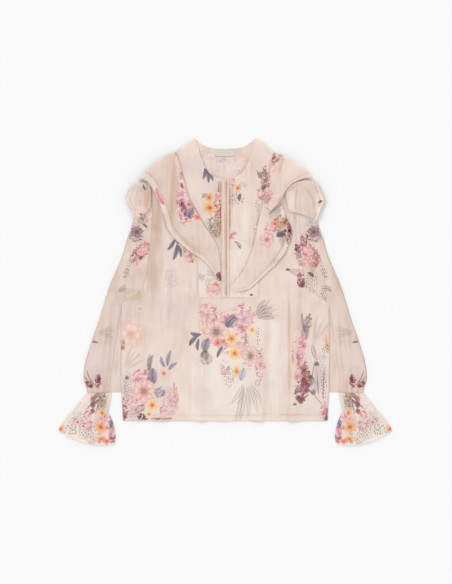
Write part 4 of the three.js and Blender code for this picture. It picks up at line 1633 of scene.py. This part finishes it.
@dataclass
class Body:
    """Back and front panels, one over the other, and the label inside the back of the neck."""

    back_height: float = 0.4
    front_height: float = 1.7
    edge_mm: float = 16.0
    hem_mm: float = 12.0
    hem_lift: float = 0.2
    label_width: float = 44.0
    label_length: float = 15.0
    label_top: float = 327.5
    label_lift: float = 1.2

    def panel(self, edge: Sequence[tuple[float, float]], high: float = 1) -> tuple[Grid, Grid]:
        """Places of a body panel.

        Args:
            edge: its top edge, from the centre to the shoulder tip.
            high: how far up from its hem it goes, as a share of its length.

        Returns:
            Grids of x and y, in millimetres.
        """
        top = even(spline(edge, 200), CLOTH_STEP)
        xs = np.concatenate([-top[:0:-1, 0], top[:, 0]])
        ys = np.concatenate([top[:0:-1, 1], top[:, 1]])
        side = np.array(BODY_SIDE, float)
        rows = max(2, round((TIP_Y - HEM_Y) * high / CLOTH_STEP))
        up = np.linspace(0, high, rows + 1)[:, None]
        half = np.interp(HEM_Y + up * (TIP_Y - HEM_Y), side[:, 1], side[:, 0])
        x = xs[None, :] / top[-1, 0] * half
        return x, HEM_Y + up * (ys[None, :] - HEM_Y)

    def inward(self, x: Grid, y: Grid) -> Grid:
        """How far in from its side seams a place on the body is, in millimetres."""
        side = np.array(BODY_SIDE, float)
        return np.maximum(np.interp(y, side[:, 1], side[:, 0]) - np.abs(x), 0)

    def front_z(self, x: Grid, y: Grid) -> Grid:
        """Height of the front, which lies low along its sides below the armholes."""
        inward = np.clip(self.inward(x, y) / self.edge_mm, armhole_share(y), 1)
        return self.front_height + front_rise(x, y) * inward * (2 - inward)

    def back_z(self, x: Grid, y: Grid) -> Grid:
        """Height of the back, which lies flat all over."""
        return np.full_like(x + y, self.back_height)

    def front_gather_and_shade(self, x: Grid, y: Grid) -> Grid:
        """Painted light and shade of the front, its hem, and its side seams below the armholes."""
        sides = SEAM_TONE * bump(self.inward(x, y), SEAM_WIDTH) * (1 - armhole_share(y))
        return sum_folds(x, y, FRONT_LIGHT_SHADE_AND_HEM) + sides

    def cloth(
        self,
        edge: Sequence[tuple[float, float]],
        height: Callable[[Grid, Grid], Grid],
        gather_and_shade: Callable[[Grid, Grid], Grid] | None = None,
    ) -> list[Sheet]:
        """A body panel and the doubled band along its hem.

        Args:
            edge: the panel's top edge, from the centre to the shoulder tip.
            height: gives its height at places.
            gather_and_shade: its gathers and painted shade at places; the default is nowhere.

        Returns:
            The panel's sheet and the band's.
        """
        x, y = self.panel(edge)
        panel = sheet_from(x, y, height(x, y), gather_and_shade(x, y) if gather_and_shade else None)
        x, y = self.panel(edge, self.hem_mm / (TIP_Y - HEM_Y))
        return [panel, sheet_from(x, y, height(x, y) + self.hem_lift)]

    def label(self) -> Piece:
        """Makes the blank label inside the back of the neck.

        Returns:
            The piece.
        """
        half = self.label_width / 2
        x, y = np.meshgrid(
            np.linspace(-half, half, 12),
            np.linspace(self.label_top - self.label_length, self.label_top, 5),
        )
        tape = [sheet_from(x, y, self.back_z(x, y) + self.label_lift)]
        return Piece("Neck label", "label", tape, "label_tape", (TAPE,), rests_on=("body_back",))

    def front(self) -> Piece:
        """Makes the front, whose materials each hold only the motifs near them, to stay light.

        Returns:
            The piece.
        """
        regions = (
            Region(*MIDDLE, "Printed chiffon, front middle"),
            Region(*LOW, "Printed chiffon, front low"),
            Region((-245, -300), (-83.01, 0), "Printed chiffon, front left"),
            Region((122.01, -300), (245, -3), "Printed chiffon, front right"),
            Region((-145, 10), (-60, 140), "Printed chiffon, front upper"),
            Region((4, 88), (66, 156), "Printed chiffon, front upper"),
            Region((120, 10), (200, 110), "Printed chiffon, front side"),
        )
        finishes = tuple(dict.fromkeys((PLAIN, *(region.finish for region in regions))))
        front = self.cloth(FRONT_TOP_EDGE, self.front_z, self.front_gather_and_shade)
        facts = {"regions": regions, "rests_on": ("body_back",)}
        return Piece("Front panel", "body_front", front, PRINTED_SLOT, finishes, **facts)

    def build(self) -> list[Piece]:
        """Makes the back, the front and the label.

        Returns:
            The pieces.
        """
        back = self.cloth(BACK_TOP_EDGE, self.back_z)
        back_panel = printed("Back panel", "body_back", back, "Printed chiffon, back")
        return [back_panel, self.front(), self.label()]


# The same for the placket, darker near its right edge, and the yokes, gathered most beside it,
# with painted shade in those gathers and a paler patch on the right yoke
PLACKET_DARKENING = (Fold((1, 258), (1, -9), 0.8, 3.6, fade=0.02),)
YOKE_GATHERS_AND_SHADE = (
    Fold((-11, 258), (-11, 20), 1.5, 3.0, fade=0.05),
    Fold((-18, 257), (-13, 60), 0.9, 3.4, fade=0.2),
    Fold((-25, 252), (-20, 110), 0.4, 4, fade=0.2),
    Fold((11, 256), (10, 60), 1.1, 2.8, fade=0.1),
    Fold((17, 255), (16, 190), 0.5, 3, fade=0.2),
    Fold((50, 250), (44, 120), -0.26, 12, fade=0.3),
)


@dataclass
class Chest:
    """Bib, yoke fronts and placket strips, which lie on the front.

    The yokes' edges are turned in softly, so they show less than full.
    """

    yoke_edge: float = 0.45
    over_lift: float = 0.3

    def panel(
        self,
        name: str,
        ribs: Sequence[Rib],
        finish: str,
        tone_folds: Sequence[Fold] = (),
        edge: float = 1.0,
        lift: float = 0.0,
    ) -> Piece:
        """One panel of the chest, which follows the front's own unevenness.

        Args:
            name: the piece's name, from which its solid has its own.
            ribs: its ribs.
            finish: its finish.
            tone_folds: where it is gathered, with painted shade, and paler below 0.
            edge: how much its turned-in edges show.
            lift: height over its ribs' own, in millimetres.

        Returns:
            The piece.
        """
        cut = fan(ribs)
        # Gathers with painted shade from the table, and doubled cloth along turned-in edges
        gather_and_shade = sum_folds(cut.x, cut.y, tone_folds) + edge * edge_lines(cut)
        height = cut.z + front_rise(cut.x, cut.y) + lift
        sheet = sheet_from(cut.x, cut.y, height, gather_and_shade)
        slot = PLAIN_SLOT if finish == PLAIN else PRINTED_SLOT
        node = name.lower().replace(" ", "_")
        return Piece(name, node, [sheet], slot, (finish,), rests_on=("body_front",))

    def build(self) -> list[Piece]:
        """Makes the bib, the yokes and the placket.

        Returns:
            The pieces.
        """
        yokes = (
            self.panel(name, ribs, f"Printed chiffon, {name.lower()}", YOKE_GATHERS_AND_SHADE, self.yoke_edge)
            for name, ribs in (("Yoke left", YOKE_LEFT), ("Yoke right", YOKE_RIGHT))
        )
        return [
            self.panel("Bib", BIB, "Printed chiffon, bib"),
            *yokes,
            self.panel("Placket over", PLACKET_OVER, PLAIN, PLACKET_DARKENING, lift=self.over_lift),
            self.panel("Placket under", PLACKET_UNDER, PLAIN),
        ]


# The same for the lengths of V frill, in the order of FRILLS, and for both cap frills
# These are gathers with painted shade, a pale lobe of cloth and, on the caps, painted highlights.
LEFT_GATHERS_AND_SHADE = (
    Fold((-113, 322), (-105, 272), 0.5, 5, fade=0.2),
    Fold((-112, 318), (-124, 150), 0.55, 7, bend=-3, fade=0.2),
    Fold((-102, 296), (-116, 160), 0.25, 5, bend=-3, fade=0.3),
    Fold((-126, 150), (-60, 84), 0.25, 10, fade=0.2),
    Fold((-150, 250), (-140, 170), -0.2, 10),
)
RIGHT_GATHERS_AND_SHADE = (
    Fold((110, 200), (140, 110), 0.5, 20, fade=0.2),
    Fold((150, 190), (152, 110), 1.4, 3, fade=0.2),
    Fold((138, 180), (132, 96), 0.9, 4, fade=0.2),
    Fold((96, 190), (120, 130), 0.3, 12, fade=0.2),
    Fold((130, 78), (96, 60), 0.3, 8),
    Fold((135, 202), (128, 166), -0.6, 9, bend=3, fade=0.2),
)
UPPER_GATHERS_AND_SHADE = (
    Fold((134, 316), (122, 268), 0.5, 5, fade=0.3),
    Fold((116, 312), (98, 250), 0.45, 6, fade=0.2),
    Fold((180, 250), (110, 200), 0.3, 8),
)
CAP_SHADE_AND_LIGHT = (
    Fold((166, 240), (161, 186), 0.4, 3.0, bend=-2, fade=0.2),
    Fold((178, 246), (206, 180), 0.4, 3.4, bend=8, fade=0.2),
    Fold((151, 236), (152, 188), -0.5, 10),
    Fold((178, 232), (176, 190), -0.16, 8),
    Fold((214, 234), (210, 176), -0.4, 9),
    Fold((141, 228), (174, 247), 0.4, 2.4, bend=3),
    Fold((186, 250), (220, 224), 0.5, 2.2, bend=2),
    Fold((-196, 246), (-204, 170), 0.25, 3.4, bend=-6, fade=0.2),
    Fold((-211, 232), (-214, 196), 0.3, 4, fade=0.3),
    Fold((-180, 252), (-179, 172), 0.3, 6, fade=0.2),
    Fold((-212, 238), (-214, 186), -0.24, 10),
    Fold((-176, 262), (-172, 176), 0.4, 12, fade=0.45),
    Fold((-186, 244), (-184, 190), 0.3, 3.4),
)


@dataclass(frozen=True)
class Frill:
    """One length of frill.

    Roll is how far it stands up from what it lies on and ripple the height of the waves along
    its edge, in millimetres. Hem is the share of its width that is doubled.
    """

    name: str
    node: str
    ribs: Sequence[Rib]
    finish: str
    tone_folds: Sequence[Fold]
    roll: float
    hem: float
    ripple: float
    rests_on: tuple[str, ...]


FRILLS = (
    Frill("Frill left", "ruffle_left", FRILL_LEFT, "Printed chiffon, frill left", LEFT_GATHERS_AND_SHADE,
          1.8, 0.2, 0.8, ("body_front", "yoke_left", "cap_left")),
    Frill("Frill right, lower", "ruffle_right_lower", FRILL_RIGHT_LOWER,
          "Printed chiffon, frill right", RIGHT_GATHERS_AND_SHADE, 1.6, 0.2, 0.6,
          ("body_front", "yoke_right")),
    Frill("Frill right, upper", "ruffle_right_upper", FRILL_RIGHT_UPPER,
          "Printed chiffon, frill right", UPPER_GATHERS_AND_SHADE, 1.6, 0.12, 0.4,
          ("ruffle_right_lower", "yoke_right", "cap_right")),
    Frill("Cap frill left", "cap_left", CAP_LEFT, "Printed chiffon, caps", CAP_SHADE_AND_LIGHT,
          1.2, 0.16, 2.0, ("sleeve_left",)),
    Frill("Cap frill right", "cap_right", CAP_RIGHT, "Printed chiffon, caps", CAP_SHADE_AND_LIGHT,
          1.2, 0.12, 2.0, ("sleeve_right",)),
)


@dataclass
class Frills:
    """V frills from the shoulders to the placket, and the cap frills over the sleeve heads."""

    columns: int = 28
    fewest: int = 5
    band_lift: float = 0.25
    waves: float = 2.5
    wave_lean: float = 1.3
    roll_fade: float = 0.6

    def sew(self, frill: Frill) -> Piece:
        """One frill with its doubled hem band.

        Args:
            frill: its cut and how it lies.

        Returns:
            The piece.
        """
        sheets = []
        for low, lift in ((0.0, 0.0), (1 - frill.hem, self.band_lift)):
            across = np.linspace(low, 1, max(self.fewest, round(self.columns * (1 - low))))
            cut = fan(frill.ribs, across)
            wave = np.sin(cut.along * 2 * np.pi * self.waves + self.wave_lean * cut.across)
            wave = wave * cut.across**2
            height = cut.z + front_rise(cut.x, cut.y) + ON_TOP + lift
            swept = 1 - self.roll_fade * cut.along
            height = height + frill.roll * bump(cut.across - 0.5, 0.5) * swept
            height = height + frill.ripple * (0.5 + 0.5 * wave)
            # Gathers, painted shade and light from the table, doubled edges and the hem's seam
            gather_and_shade = sum_folds(cut.x, cut.y, frill.tone_folds) + edge_lines(cut)
            seam = bump(cut.across - 1 + frill.hem, SEAM_WIDTH / cut.wide)
            gather_and_shade = gather_and_shade + SEAM_TONE * seam - (BAND_LIGHT if lift else 0)
            sheets.append(sheet_from(cut.x, cut.y, height, gather_and_shade))
        facts = {"held": "gathered", "rests_on": frill.rests_on}
        return printed(frill.name, frill.node, sheets, frill.finish, **facts)

    def build(self) -> list[Piece]:
        """Makes the three lengths of V frill and the two cap frills.

        Returns:
            The pieces.
        """
        return [self.sew(frill) for frill in FRILLS]


# Soft folds of a sleeve; painted light in the gap below the right cap frill, which lifts the
# shade that the frill casts there, with painted shade on its fold lines; painted shade near
# the wrist; where wrist bands and cuffs show gathered; all but the gap are mirrored on the left
SLEEVE_FOLDS = (
    Fold((240, 60), (285, -150), 1.6, 14, bend=4),
    Fold((262, 0), (300, -200), 1.6, 12, bend=-4),
    Fold((200, 150), (240, 0), 1.4, 12, bend=5),
    Fold((280, -80), (285, -228), 1.6, 8, open_end=True),
    Fold((300, -150), (300, -229), 1.4, 7, open_end=True),
    Fold((190, 240), (215, 100), 1.2, 9),
)
CAP_GAP_LIGHT_AND_SHADE = (
    Fold((134, 190), (196, 248), -0.9, 8, bend=8, fade=0.2),
    Fold((175, 182), (181, 147), -0.4, 5, bend=2, fade=0.3),
    Fold((192, 196), (196, 152), 0.16, 14, fade=0.3),
    Fold((186, 178), (182, 146), 0.4, 3.4, bend=-3),
    Fold((197, 192), (207, 162), 0.35, 3.0),
)
SLEEVE_SHADE = (
    Fold((276, -170), (277, -231), 0.18, 12, fade=0.8, open_end=True),
    Fold((288, -170), (292, -231), 0.3, 6, fade=0.8, open_end=True),
    Fold((308, -180), (303, -231), 0.3, 5, fade=0.8, open_end=True),
    Fold((258, -40), (274, -225), 0.18, 5),
    Fold((282, -110), (288, -205), -0.1, 26, fade=0.3),
)
BAND_GATHERS = (
    Fold((283, -215), (287, -290), 0.6, 12, open_end=True, fade=0.05),
    Fold((272, -215), (277, -290), 0.3, 9, open_end=True, fade=0.05),
    Fold((306, -215), (312, -290), 0.3, 4, open_end=True, fade=0.05),
)
CUFF_GATHERS = (
    Fold((290, -240), (284, -310), 0.7, 13, fade=0.25),
    Fold((262, -285), (262, -345), 0.3, 8, fade=0.3),
)


@dataclass
class SleeveSide:
    """One sleeve with its wrist band and cuff, laid flat; side is -1 on the left."""

    side: int
    lower: float = 0.4
    top_y: float = 284.0
    armhole_y: float = -26.0
    wrist_y: float = -231.0
    # Faces up the sleeve and across each of its layers, about
    rows: int = 110
    columns: int = 26
    # Where the top layer's inner edge is folded back, below the armhole, from the wrist up
    fold_back: tuple[tuple[float, float], ...] = (
        (-231, 269),
        (-200, 265),
        (-160, 259),
        (-115, 252),
        (-80, 246),
        (-50, 241),
        (-26, 238.6),
    )
    inner_height: float = 1.3
    outer_height: float = 2.2
    head_height: float = 3.5
    fullness: float = 3.0
    # It gets fuller by this much from one height down, over a length.
    more_below: float = 2.0
    fuller_from: float = 240.0
    fuller_over: float = 200.0
    least_width: float = 2.0
    full_width: float = 40.0
    # Painted shade on the under layer, which lies under the top one
    under_shade: float = 0.24
    # The under layer's print is moved up by this much, in metres, clear of the top one's.
    under_print: float = 1.0
    tube_columns: int = 36
    tube_round: float = 0.6
    tube_sink: float = 0.8
    flutes: int = 7
    flute_rise: float = 1.6
    band_rise: float = 0.8
    flute_tone: float = 0.35

    @property
    def word(self) -> str:
        """Left or right."""
        return "left" if self.side < 0 else "right"

    def edges(self, y: Grid) -> tuple[Grid, Grid, Grid]:
        """Edges of the sleeve at places up it.

        Args:
            y: the places, in millimetres, one to a row.

        Returns:
            Where its inner and outer edges are, and the inner edge of its top layer.
        """
        seam, back = np.array(BODY_SIDE, float), np.array(self.fold_back)
        outer = spline(SLEEVE_OUTER, 300)
        inner = np.interp(y, seam[:, 1], seam[:, 0]) + SEAM_GAP
        out = np.interp(y, outer[::-1, 1], outer[::-1, 0])
        folded = np.interp(y, back[:, 0], back[:, 1])
        top = np.maximum(np.where(y < self.armhole_y, folded, inner), inner)
        return inner, np.maximum(out, inner + self.least_width), top

    def top_height(self, y: Grid, t: Grid, inner: Grid, out: Grid, folds: Grid) -> Grid:
        """Height of the sleeve's top layer.

        Args:
            y: places up the sleeve, one to a row.
            t: shares across it, from its outer edge to its inner one.
            inner: where its inner edge is.
            out: where its outer edge is.
            folds: the height of its folds.

        Returns:
            The layer's height, in millimetres.
        """
        joined = armhole_share(y)
        # Beside the armhole the sleeve's top runs level into the front.
        level = self.head_height * t**0.6 * (1 - t) ** 1.5
        swell_up = joined * level + (1 - joined) * np.sin(np.pi * t) ** 0.75
        full = self.fullness + self.more_below * np.clip(
            (self.fuller_from - y) / self.fuller_over, 0, 1
        )
        seam_z = Body.front_height + front_rise(self.side * inner, y)
        inner_z = joined * seam_z + (1 - joined) * self.inner_height
        rise = inner_z + (self.outer_height - inner_z) * (1 - t) ** 2
        return rise + (full * np.clip((out - inner) / self.full_width, 0, 1) + folds) * swell_up

    def sleeve(self) -> Piece:
        """Makes the sleeve: its under layer, folded at its outer edge to the one on top.

        Returns:
            The piece.
        """
        y = np.linspace(self.wrist_y, self.top_y, self.rows)[:, None]
        inner, out, inner_top = self.edges(y)
        s = np.linspace(0, 1, self.columns)[None, :]
        t = s[:, 1:]
        under_x, top_x = inner + (out - inner) * s, out + (inner_top - out) * t
        folds = sum_folds(top_x, y + 0 * top_x, SLEEVE_FOLDS)
        top_z = self.top_height(y, t, inner, out, folds)
        x = np.concatenate([under_x, top_x], axis=1) * self.side
        z = np.concatenate([self.lower + 0 * under_x, top_z], axis=1)
        under = under_x.shape[1]
        z[:, under - 1] = (self.outer_height + self.lower) / 2
        grid_y = y + 0 * x
        # Painted shade near the wrist, and painted light and shade below the right cap frill
        gather_and_shade = sum_folds(np.abs(x), grid_y, SLEEVE_SHADE) + sum_folds(x, grid_y, CAP_GAP_LIGHT_AND_SHADE)
        # The under layer is painted darker: painted shade under the top layer.
        gather_and_shade[:, :under] += self.under_shade
        sheet = sheet_from(x, grid_y, z, gather_and_shade, mirror=self.side > 0)
        sheet.prints[:, :under, 1] += self.under_print
        name = f"sleeve {self.word}"
        node = name.replace(" ", "_")
        return printed(name.capitalize(), node, [sheet], f"Printed chiffon, {name}")

    def tube(
        self, name: str, node: str, ribs: Sequence[Rib], tone_folds: Sequence[Fold], flutes: float
    ) -> Piece:
        """A wrist band or a cuff, as a tube laid flat.

        Args:
            name: the piece's name, without its side.
            node: the solid it stands for, without its side.
            ribs: its ribs.
            tone_folds: where it is gathered.
            flutes: height of its flutes.

        Returns:
            The piece.
        """
        count = self.tube_columns
        s = 0.5 - 0.5 * np.cos(np.pi * np.linspace(0, 1, count))
        around = np.concatenate([s, s[-2:0:-1]])
        cut = fan(ribs, around)
        upper = np.arange(len(around)) < count
        swell_up = np.sin(np.pi * np.clip(cut.across, 0, 1)) ** 0.7
        wave = np.sin(np.pi * self.flutes * cut.across + 0.6) ** 2
        top = TUBE_EDGE - self.tube_round + (cut.z - TUBE_EDGE + self.tube_sink) * swell_up
        top = top + flutes * wave * swell_up
        low = self.lower + (TUBE_EDGE - self.tube_sink) * (1 - swell_up) ** 2 * 0.5
        z = np.where(upper[None, :], top, low)
        gather_and_shade = sum_folds(cut.x, cut.y, tone_folds)
        gather_and_shade = gather_and_shade + self.flute_tone * wave * (1 - cut.along) ** 1.5
        mirror = self.side > 0
        sheet = sheet_from(cut.x * self.side, cut.y, z, gather_and_shade, mirror=mirror, ring=True)
        sheet.prints[:, ~upper, 1] += self.under_print
        name, node = f"{name} {self.word}", f"{node}_{self.word}"
        return printed(name, node, [sheet], "Printed chiffon, cuffs", held="gathered")

    def build(self) -> list[Piece]:
        """Makes the sleeve, its wrist band and its cuff.

        Returns:
            The pieces.
        """
        return [
            self.sleeve(),
            self.tube("Wrist band", "wrist_band", WRIST_BAND, BAND_GATHERS, self.band_rise),
            self.tube("Cuff", "cuff_flounce", CUFF, CUFF_GATHERS, self.flute_rise),
        ]


@dataclass(frozen=True)
class Seam:
    """A line of stitches through places, in millimetres, at heights over what is below."""

    points: tuple[tuple[float, float], ...]
    height: float


# The front's hem, the placket's two edges and the bib's
SEAMS = (
    Seam(((-234, -284), (-100, -284), (0, -284), (100, -284), (234, -284)), 2.3),
    Seam(((1.8, 256), (1.8, 120), (1.8, -8)), 6.0),
    Seam(((-7.8, 256), (-7.8, 120), (-7.8, -8)), 6.0),
    Seam(((-62, 96), (-62, 40), (-61, -10), (10, -10), (74, -10), (76, 40)), 4.2),
)


@dataclass
class Stitching:
    """Topstitching along hems and edges, one short thread after another."""

    pitch: float = 3.2
    length: float = 2.2
    thickness: float = 0.35
    step: float = 4.0

    def tree(self, material: bpy.types.Material) -> bpy.types.NodeTree:
        """Geometry Nodes that put threads along a line.

        Args:
            material: the thread's material.

        Returns:
            The node tree.
        """
        tree = bpy.data.node_groups.new("Stitches", "GeometryNodeTree")
        tree.interface.new_socket("Geometry", in_out="INPUT", socket_type="NodeSocketGeometry")
        for name in ("Pitch", "Length", "Thickness"):
            tree.interface.new_socket(name, in_out="INPUT", socket_type="NodeSocketFloat")
        tree.interface.new_socket("Geometry", in_out="OUTPUT", socket_type="NodeSocketGeometry")
        add = partial(add_node, tree)
        given = add("NodeGroupInput")
        curve = add("GeometryNodeMeshToCurve", Mesh=given["Geometry"])[0]
        along = {"mode": "LENGTH"}
        dots = add("GeometryNodeCurveToPoints", along, Curve=curve, Length=given["Pitch"])
        thick = given["Thickness"]
        size = add("ShaderNodeCombineXYZ", None, thick, thick, given["Length"])[0]
        thread = add("GeometryNodeMeshCube", Size=size)[0]
        placed = add(
            "GeometryNodeInstanceOnPoints",
            Points=dots["Points"],
            Instance=thread,
            Rotation=dots["Rotation"],
        )[0]
        real = add("GeometryNodeRealizeInstances", Geometry=placed)[0]
        dressed = add("GeometryNodeSetMaterial", Geometry=real, Material=material)[0]
        add("NodeGroupOutput", Geometry=dressed)
        return tree

    def build(self, seams: Sequence[Seam], wardrobe: Wardrobe) -> bpy.types.Object:
        """Sews the seams.

        Args:
            seams: the lines to sew.
            wardrobe: the finishes.

        Returns:
            The object of all the stitches.
        """
        places, edges = [], []
        for seam in seams:
            line = even(spline(seam.points, 120), self.step)
            rise = front_rise(line[:, 0], line[:, 1]) + seam.height
            first = len(places)
            places += [(x * MM, y * MM, z * MM) for (x, y), z in zip(line, rise)]
            edges += [(first + i, first + i + 1) for i in range(len(line) - 1)]
        mesh = bpy.data.meshes.new("Stitch lines")
        mesh.from_pydata(places, edges, [])
        rail = bpy.data.objects.new("Stitch lines", mesh)
        bpy.context.scene.collection.objects.link(rail)
        tree = self.tree(wardrobe[THREAD])
        sewer = rail.modifiers.new("Stitches", "NODES")
        sewer.node_group = tree
        sizes = {"Pitch": self.pitch, "Length": self.length, "Thickness": self.thickness}
        for item in tree.interface.items_tree:
            if item.in_out == "INPUT" and item.name in sizes:
                sewer[item.identifier] = sizes[item.name] * MM
        sewn = rail.evaluated_get(bpy.context.evaluated_depsgraph_get())
        stitches = bpy.data.objects.new("Stitches", bpy.data.meshes.new_from_object(sewn))
        bpy.data.objects.remove(rail)
        bpy.context.scene.collection.objects.link(stitches)
        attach(stitches, BODY)
        log.info("Stitches: %d faces", len(stitches.data.polygons))
        return stitches


@dataclass
class Studio:
    """White table, soft light from all round, a weak key from the top left and a camera above."""

    table_side: float = 8.0
    surround: float = 1.06
    key: float = 0.9
    key_spread: float = 25.0
    key_tilt: tuple[float, float] = (-38.0, -32.0)
    lens: float = 100.0
    far: float = 20.0
    sheer_layers: int = 24

    def build(self, wardrobe: Wardrobe) -> None:
        """Sets up the table, the lights, the view's colours and the camera.

        Args:
            wardrobe: the finishes.
        """
        half = self.table_side / 2
        corners = [(-half, -half, 0), (half, -half, 0), (half, half, 0), (-half, half, 0)]
        mesh = bpy.data.meshes.new("Table")
        mesh.from_pydata(corners, [], [(0, 1, 2, 3)])
        mesh.materials.append(wardrobe[TABLETOP])
        table = bpy.data.objects.new("Table", mesh)
        bpy.context.scene.collection.objects.link(table)
        scene = bpy.context.scene
        world = bpy.data.worlds.new("Studio")
        scene.world = world
        world.use_nodes = True
        light = world.node_tree.nodes["Background"]
        light.inputs["Color"].default_value = (1, 1, 1, 1)
        light.inputs["Strength"].default_value = self.surround
        key = bpy.data.objects.new("Key", bpy.data.lights.new("Key", "SUN"))
        key.data.energy = self.key
        key.data.angle = math.radians(self.key_spread)
        key.rotation_euler = (*(math.radians(tilt) for tilt in self.key_tilt), 0)
        scene.collection.objects.link(key)
        scene.view_settings.view_transform = "Standard"
        scene.view_settings.look = "None"
        scene.cycles.transparent_max_bounces = self.sheer_layers
        camera = bpy.data.objects.new("Camera", bpy.data.cameras.new("Camera"))
        camera.data.lens = self.lens
        camera.data.sensor_width = SENSOR_MM
        camera.data.clip_end = self.far
        tall = FRAME_PIXELS[1] * PIXEL_MM * MM
        camera.location = (CAMERA_X_MM * MM, 0, tall * self.lens / SENSOR_MM)
        scene.collection.objects.link(camera)
        scene.camera = camera


def main() -> None:
    """Builds the blouse and the studio, and reports each piece."""
    wardrobe = Wardrobe()
    Studio().build(wardrobe)
    pieces = Body().build() + Chest().build() + Frills().build()
    for side in (-1, 1):
        pieces += SleeveSide(side).build()
    for piece in pieces:
        piece.make(wardrobe)
    Stitching().build(SEAMS, wardrobe)


if __name__ == "__main__":
    main()
